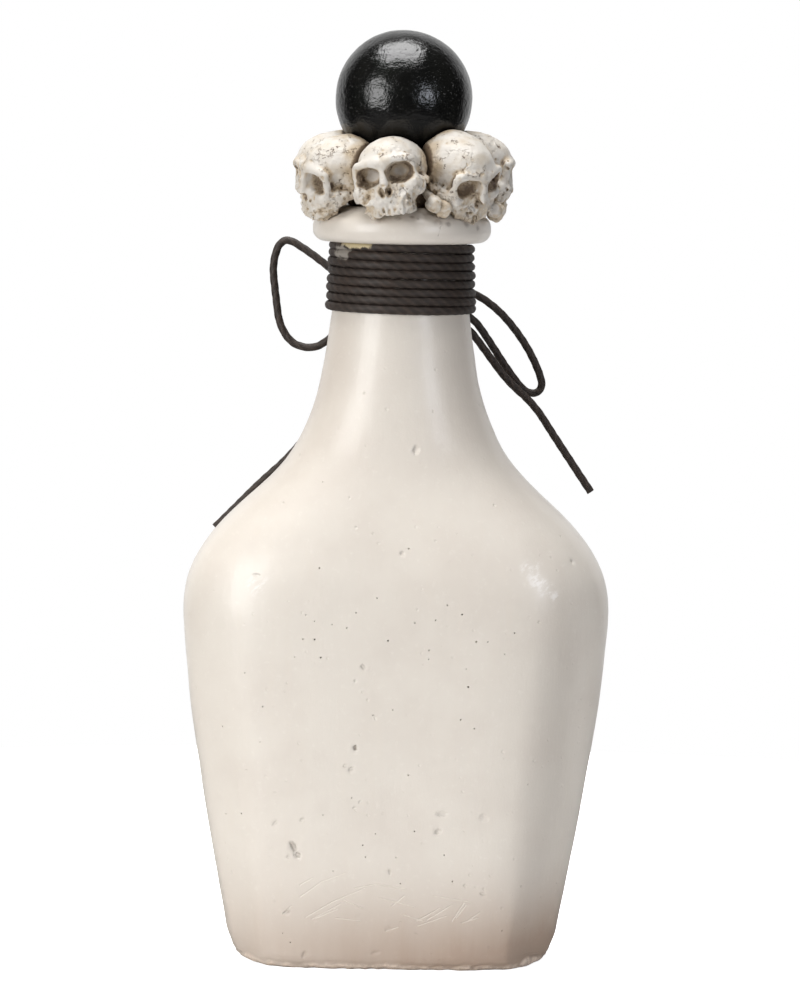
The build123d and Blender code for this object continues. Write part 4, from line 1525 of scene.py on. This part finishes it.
# %% Casting one skull
def cast_skull(number):
    """One skull of the ring: points, faces and how sheltered each point is."""
    centre, turn = skull_axes(number)
    band = np.abs(mould) < 0.9
    spots = mould_places[band]
    worn = spots + np.array((number * 37.0, number * 11.0, 0))
    low_face = smooth_step(-spots[:, 2], 0.8, 3.6) * smooth_step(-spots[:, 1], -2.5, 2.5)
    flank = smooth_step(np.abs(spots[:, 0]), 3.0, 5.0) * smooth_step(-spots[:, 2], -3.5, 0)
    rough = np.maximum(low_face, 0.6 * flank)
    erosion = 0.12 * grain(worn, 2.6, 11) + 0.06 * grain(worn, 0.9, 12)
    erosion += rough * (0.34 * grain(worn, 1.25, 13) + 0.20 * grain(worn, 0.6, 14))
    pits = smooth_step(grain(worn, 0.62, 15), 0.42, 0.62)
    pits *= smooth_step(grain(worn, 2.4, 16), -0.25, 0.35)
    erosion += pits * (0.12 + 0.34 * rough)
    # Thin cracks wander over the crown and sides, where two noises cross zero together
    wander = np.abs(grain(worn, 3.4, 17) + 0.35 * grain(worn, 0.9, 18))
    cracks = (1 - smooth_step(wander, 0.0, 0.045)) * smooth_step(grain(worn, 2.9, 19), 0.05, 0.3)
    erosion += 0.28 * cracks
    body = mould.copy()
    body[band] += erosion
    placed = mould_places @ turn.T + centre
    seat = seat_field(placed) - 0.12
    wedge = wedge_field(placed, number)
    body = carve(body, seat, 0.3)
    body = -unite(-body, -wedge, 0.5)
    points, faces = net(body, mould_low, mould_step)
    sheltered = shelter(body, mould_low, mould_step, points)
    in_place = points @ turn.T + centre
    touching = np.minimum(seat_field(in_place), -wedge_field(in_place, number))
    # Painted shade, with the wash, where the skull meets the lip, the collar, the ball or a neighbour
    sheltered = np.maximum(sheltered, 1 - smooth_step(touching, 0.15, 0.9))
    # The wash pooled in the eye sockets and nostrils, laid on thicker there as painted shade, and
    # a patchy stain with painted shade darkens the sides next to the others and the seat
    paired = points.copy()
    paired[:, 0] = np.abs(paired[:, 0])
    socket = 1 - smooth_step(pebble(paired, (3.0, -6.6, -0.1), (2.35, 2.9, 1.9), 2.5), -0.12, 0.22)
    nostril = 1 - smooth_step(egg(paired, (0.62, -7.9, -3.3), (0.65, 1.4, 0.95)), -0.1, 0.2)
    inner = smooth_step(points[:, 1], -6.9, -5.6)
    patchy = 0.5 + 0.5 * grain(in_place, 1.7, 61)
    stain_and_shade = (1 - smooth_step(touching, 0.5, 3.2)) * (0.25 + 0.35 * patchy)
    # Painted light: less wash on the lower face, so it reads lighter where it turns down into shade
    lower_face_lightened = 1 - 0.5 * smooth_step(-points[:, 2], 1.5, 4.0) * smooth_step(-points[:, 1], 1.0, 4.0)
    sheltered = np.maximum(sheltered * lower_face_lightened + 0.62 * socket * inner + 0.4 * nostril, stain_and_shade)
    sheltered = np.clip(sheltered, 0, 1)
    return in_place, faces, sheltered


# %% [markdown]
# ### Bone
# The casts are bone white. A thin brown wash was brushed on and wiped off again, so it
# stays in hollows, pores and cracks, and it warms the low places with a yellowish veil.
# An ambient occlusion node would darken hollows too, but the wash has to stay where it
# dried, whatever stands nearby. So how sheltered a point lies is measured once, in the
# field, and stored on the mesh. The same stored value also holds painted shade in the
# sockets and where a skull meets the lip, the collar, the ball and its neighbours, and the
# lower face is painted lighter against its shade.

# %% The bone material
def bone_material():
    made, tree, shader, place = start_material("bone_resin")
    deep = attribute(tree, "hollow")
    cloud = noise(tree, place, 3.0 * mm, 3.0)
    pores = noise(tree, place, 0.42 * mm, 3.0, 0.65)
    specks = noise(tree, place, 1.2 * mm, 4.0, 0.7)
    colour = mix(tree, rise(tree, cloud, 0.4, 0.7), paint(211, 205, 196), paint(200, 190, 175))
    veil = plus(tree, deep, times(tree, less(tree, cloud, 0.5), 0.5))
    colour = glaze(tree, colour, rise(tree, veil, 0.10, 0.50), 0.75, paint(186, 165, 134))
    dark = plus(tree, deep, times(tree, less(tree, pores, 0.5), 0.8))
    colour = glaze(tree, colour, rise(tree, dark, 0.38, 0.95), 0.85, paint(92, 74, 58))
    spots = times(tree, rise(tree, specks, 0.60, 0.66), rise(tree, cloud, 0.42, 0.56))
    colour = glaze(tree, colour, spots, 0.8, paint(88, 68, 50))
    # Fine brown cracks: where a noise crosses its middle, in patches
    vein = calc(tree, "ABSOLUTE", less(tree, noise(tree, place, 2.6 * mm, 5.0, 0.62), 0.5))
    vein = less(tree, 1.0, rise(tree, vein, 0.0, 0.020))
    vein = times(tree, vein, rise(tree, noise(tree, place, 4.5 * mm, 1.0), 0.53, 0.63))
    colour = glaze(tree, colour, vein, 0.7, paint(114, 90, 66))
    tree.links.new(colour, shader.inputs["Base Color"])
    shader.inputs["Roughness"].default_value = 0.46
    shader.inputs["Specular IOR Level"].default_value = 0.4
    heights = less(tree, pores, plus(tree, spots, vein))
    raise_by(tree, shader, heights, 0.08 * mm)
    return made


bone_finish = bone_material()
print("the bone finish has", len(bone_finish.node_tree.nodes), "nodes")

# %% The seven skulls
for number in range(len(skull_azimuths)):
    points, faces, sheltered = cast_skull(number)
    node = f"skull_{number + 1}"
    skull = mesh_piece(node + "_cast", points * mm, faces.tolist(), bone_finish, {"hollow": sheltered})
    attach(skull, "stopper")
    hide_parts(node)
    solid_low, solid_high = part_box(node)
    low_gap = points.min(axis=0) - np.array(solid_low) / mm
    high_gap = points.max(axis=0) - np.array(solid_high) / mm
    print(node, "box differs by", [round(float(v), 1) for v in (*low_gap, *high_gap)], "mm")

# %% [markdown]
# ### The bone ends
# Two bone ends stick out between the jaws. A bone end is a shaft with two blunt
# knuckles, so it is made as a small field too, and keeps clear of lip, collar and skulls.

# %% One bone end
bone_step = 0.13
bone_count = 96
bone_azimuths = (25, 75)
bone_slants = (-20, -15)
bone_reaches = (17.4, 19.2)
bone_height = 143.2
bone_droop = math.radians(28)
knuckle_radius = 1.6
knuckle_side = 1.12


def bone_end(number):
    """Points, faces and shelter of one bone end, in place."""
    out = math.radians(bone_azimuths[number])
    slant = math.radians(bone_slants[number])
    level_out = np.array((math.sin(out), -math.cos(out), 0))
    outwards = level_out * math.cos(bone_droop) - np.array((0, 0, math.sin(bone_droop)))
    level = np.array((math.cos(out), math.sin(out), 0))
    rising = np.cross(outwards, level)
    sideways = level * math.cos(slant) + rising * math.sin(slant)
    upwards = rising * math.cos(slant) - level * math.sin(slant)
    start = collar_radius + 0.1
    root = level_out * start + np.array((0, 0, bone_height))
    tip = root + outwards * (bone_reaches[number] - knuckle_radius - start) / math.cos(bone_droop)
    low = tip - 6.0
    axes = [first + bone_step * np.arange(bone_count) for first in low]
    places = np.stack(np.meshgrid(*axes, indexing="ij"), axis=-1)
    body = rod(places, root, tip, 1.15, 1.3)
    for side in (-1, 1):
        knuckle = tip + sideways * side * knuckle_side + outwards * 0.15 * side
        turned = (places - knuckle) @ np.stack([sideways, outwards, upwards]).T
        body = unite(body, pebble(turned, (0, 0, 0), (1.25, 1.6, 1.6 + 0.15 * side), 2.8), 0.3)
    body += 0.10 * grain(places, 0.8, 21 + number) + 0.06 * grain(places, 0.4, 23 + number)
    body = carve(body, seat_field(places) - 0.1, 0.2)
    for skull_number in (0, 1, 2):
        centre, turn = skull_axes(skull_number)
        local = (places - centre) @ turn
        inside = np.all((local > mould_low) & (local < mould_high), axis=-1)
        bone_field = np.full(places.shape[:-1], 5.0)
        bone_field[inside] = sample(mould, mould_low, mould_step, local[inside])
        body = carve(body, bone_field - 0.12, 0.15)
    points, faces = net(body, low, bone_step)
    sheltered = shelter(body, low, bone_step, points)
    return points, faces, sheltered


# %% The bone ends
bone_parts = []
for number in range(len(bone_azimuths)):
    points, faces, sheltered = bone_end(number)
    part = mesh_piece(f"bone_end_{number}", points * mm, faces.tolist(), bone_finish, {"hollow": sheltered})
    bone_parts.append(part)
bone_ends = join_pieces("bone_ends_cast", bone_parts)
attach(bone_ends, "stopper")
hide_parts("bone_ends")

# %% [markdown]
# ## The collar
# The collar is the lump of casting resin that beds the skulls on the cork. It only shows
# in the gaps, darkened as brown wash and painted shade, most where it sinks in. It could be
# another field of distance, but a ring turned about the axis and pushed in and out by noise
# is enough for what can be seen of it.

# %% Rings from an outline
def turned_rings(outline, columns):
    """Rings for an outline of radius and height, in millimetres, turned about the axis."""
    turns_round = np.linspace(0, math.tau, columns, endpoint=False) - math.pi / 2
    rings = []
    for radius, height in outline:
        x = radius * np.cos(turns_round)
        y = radius * np.sin(turns_round)
        rings.append(np.column_stack([x, y, np.full(columns, height)]))
    return np.array(rings)


def along_outline(corners, spacing):
    """An outline's corners with even steps between them."""
    spots = [corners[0]]
    for first, last in zip(corners[:-1], corners[1:]):
        count = max(1, round(math.dist(first, last) / spacing))
        for step in range(1, count + 1):
            share = step / count
            spots.append(tuple(a + (b - a) * share for a, b in zip(first, last)))
    return spots


# %% The collar
cork_top_radius = 8.8
collar_inner = cork_top_radius + 0.1
collar_outline = along_outline(
    (
        (collar_inner, 143.5),
        (collar_inner, 140.2),
        (collar_inner + 0.3, 140.05),
        (collar_radius - 0.4, 140.05),
        (collar_radius, 140.5),
        (collar_radius, 146.4),
        (collar_radius - 0.5, 147.1),
        (9.9, 147.15),
        (collar_inner, 146.9),
        (collar_inner, 143.5),
    ),
    0.35,
)[:-1]
collar_columns = 190
collar_rings = turned_rings(collar_outline, collar_columns)
collar_out = ring_normals(np.concatenate([collar_rings[-1:], collar_rings, collar_rings[:1]]))[1:-1]
outer = smooth_step(np.hypot(collar_rings[..., 0], collar_rings[..., 1]), 9.6, 10.4)
lumps = 0.30 * grain(collar_rings, 2.2, 31) + 0.18 * grain(collar_rings, 0.9, 32) - 0.2
collar_rings = collar_rings + collar_out * (lumps * outer)[..., None]
count = len(collar_outline)
collar_faces = []
for row in range(count):
    for column in range(collar_columns):
        after = (column + 1) % collar_columns
        here = row * collar_columns
        above = (row + 1) % count * collar_columns
        collar_faces.append((here + column, here + after, above + after, above + column))
# Wash and painted shade, darker where the lumps sink in
dirt = np.clip(0.75 - lumps.reshape(-1), 0.3, 1)
collar = mesh_piece(
    "collar_resin", collar_rings.reshape(-1, 3) * mm, collar_faces, bone_finish, {"hollow": dirt}
)
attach(collar, "stopper")
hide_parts("resin_collar")


# %% [markdown]
# ## The ball
# The ball is turned wood under thick black gloss paint, which pooled into slow waves and
# trapped a little dust. The waves bend the outline as well as the lamps' reflections,
# which a bump alone can't do, so they are in the mesh, and only the finest are a bump.

# %% The ball's paint
def gloss_material():
    made, tree, shader, place = start_material("black_gloss_paint")
    pooled = noise(tree, place, 5.0 * mm, 2.0)
    peel = noise(tree, place, 0.9 * mm, 3.0, 0.6)
    dust = noise(tree, place, 0.35 * mm, 2.0, 0.6)
    lumps_of_dust = rise(tree, dust, 0.67, 0.75)
    colour = mix(tree, rise(tree, pooled, 0.35, 0.7), paint(11, 11, 10), paint(18, 18, 16))
    colour = glaze(tree, colour, lumps_of_dust, 0.5, paint(62, 60, 56))
    tree.links.new(colour, shader.inputs["Base Color"])
    shine = plus(tree, times(tree, peel, 0.12), 0.12)
    tree.links.new(shine, shader.inputs["Roughness"])
    heights = plus(tree, times(tree, peel, 0.7), times(tree, lumps_of_dust, 0.8))
    raise_by(tree, shader, heights, 0.16 * mm)
    # Less shine low down: painted shade that dims the skulls' reflections on the lower half
    height = put(tree, "ShaderNodeSeparateXYZ", {0: place}).outputs["Z"]
    shine_kept = rise(tree, height, 151.0 * mm, 159.0 * mm)
    level = plus(tree, times(tree, shine_kept, 0.56), 0.08)
    shader.inputs["Specular IOR Level"].default_value = 0.6
    tree.links.new(level, shader.inputs["Specular IOR Level"])
    return made


gloss_finish = gloss_material()
print("the gloss paint has", len(gloss_finish.node_tree.nodes), "nodes")

# %% The ball, drilled underneath for its dowel
dowel_hole = 2.05
ball_columns = 220
hole_height = ball_height - ball_radius + 6
rim_angle = math.asin(dowel_hole / ball_radius)
ball_outline = [(0.7, hole_height), (1.4, hole_height), (dowel_hole, hole_height - 0.2)]
ball_outline += [(dowel_hole, height) for height in np.linspace(hole_height - 1, 147.6, 5)]
for angle in np.linspace(rim_angle, math.pi - 0.012, 170):
    ball_outline.append((ball_radius * math.sin(angle), ball_height - ball_radius * math.cos(angle)))
ball_rings = turned_rings(ball_outline, ball_columns)
from_centre = ball_rings - np.array((0, 0, ball_height))
direction = from_centre / np.linalg.norm(from_centre, axis=-1, keepdims=True)
skin_only = smooth_step(np.linalg.norm(from_centre, axis=-1), ball_radius - 0.3, ball_radius - 0.05)
swell = 0.07 * grain(ball_rings, 5.0, 41) + 0.035 * grain(ball_rings, 2.4, 42)
swell += 0.016 * grain(ball_rings, 1.0, 43)
swell += 0.012 * grain(ball_rings * np.array((1, 1, 3)), 1.2, 44) - 0.04
ball_rings = ball_rings + direction * (swell * skin_only)[..., None]
ball_faces = ring_faces(len(ball_rings), ball_columns)
ball = mesh_piece("ball_painted", shell_points(ball_rings) * mm, ball_faces, gloss_finish)
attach(ball, "stopper")
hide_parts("ball")

# %% [markdown]
# ## The cork
# The cork shows when the stopper is pulled. Natural cork is full of pores, which a colour
# alone would leave flat. So they are dents in the mesh, each a patch of noise that only
# counts where it is strong, stretched a little along the bark's grain.

# %% The cork's material
def cork_material():
    made, tree, shader, place = start_material("cork")
    inputs = {"Vector": place, "Scale": 1 / (0.9 * mm)}
    cells = put(tree, "ShaderNodeTexVoronoi", inputs).outputs["Color"]
    bark = noise(tree, place, 3.0 * mm, 4.0, 0.6, (1, 1, 0.4))
    fleck = noise(tree, place, 0.5 * mm, 3.0, 0.6)
    colour = mix(tree, rise(tree, bark, 0.35, 0.65), paint(201, 162, 112), paint(176, 132, 84))
    colour = glaze(tree, colour, rise(tree, fleck, 0.55, 0.7), 0.6, paint(128, 88, 54))
    colour = mix(tree, 0.10, colour, cells, "OVERLAY")
    colour = mix(tree, rise(tree, attribute(tree, "hollow"), 0.2, 0.9), colour, paint(78, 50, 32))
    tree.links.new(colour, shader.inputs["Base Color"])
    shader.inputs["Roughness"].default_value = 0.85
    shader.inputs["Specular IOR Level"].default_value = 0.3
    raise_by(tree, shader, plus(tree, bark, fleck), 0.12 * mm)
    return made


cork_finish = cork_material()
print("the cork's finish has", len(cork_finish.node_tree.nodes), "nodes")

# %% The cork, drilled on top for the dowel
cork_top = 147.05
cork_low = 118.0
dowel_depth = 6.0
cork_outline = along_outline(
    (
        (0.4, cork_low),
        (6.9, cork_low),
        (7.7, cork_low + 0.8),
        (8.5, 140.0),
        (cork_top_radius - 0.05, cork_top - 0.3),
        (cork_top_radius - 0.3, cork_top),
        (dowel_hole, cork_top),
        (dowel_hole, cork_top - dowel_depth),
        (0.4, cork_top - dowel_depth),
    ),
    0.35,
)
cork_columns = 150
cork_rings = turned_rings(cork_outline, cork_columns)
cork_out = ring_normals(cork_rings)
grown = cork_rings * np.array((1, 1, 0.5))
pores = smooth_step(0.6 * grain(grown, 1.3, 51) + 0.4 * grain(grown, 0.6, 52), 0.30, 0.52)
drilled = (np.hypot(cork_rings[..., 0], cork_rings[..., 1]) < 2.3) & (cork_rings[..., 2] > 130)
pores = np.where(drilled, 0, pores)
cork_rings = cork_rings - cork_out * (pores * 0.45 + 0.03)[..., None]
cork_values = np.concatenate([[0], pores.reshape(-1), [0]])
cork_faces = ring_faces(len(cork_rings), cork_columns)
cork_points = shell_points(cork_rings) * mm
cork = mesh_piece("cork_stopper", cork_points, cork_faces, cork_finish, {"hollow": cork_values})
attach(cork, "stopper")
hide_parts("cork")


# %% [markdown]
# ## The dowel
# A plain wooden pin holds the ball on the cork. It is hidden inside both, so it keeps the
# model's own solid and only gets a finish of fine upright lines.

# %% The dowel's bare wood
def wood_material():
    made, tree, shader, place = start_material("bare_wood")
    lines = noise(tree, place, 0.5 * mm, 3.0, 0.6, (1, 1, 0.05))
    colour = mix(tree, lines, paint(214, 184, 140), paint(168, 130, 88))
    tree.links.new(colour, shader.inputs["Base Color"])
    shader.inputs["Roughness"].default_value = 0.7
    raise_by(tree, shader, lines, 0.05 * mm)
    return made


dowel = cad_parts["dowel"]
dowel.data.materials.clear()
dowel.data.materials.append(wood_material())
print("the dowel is the model's own solid, of", len(dowel.data.polygons), "faces")
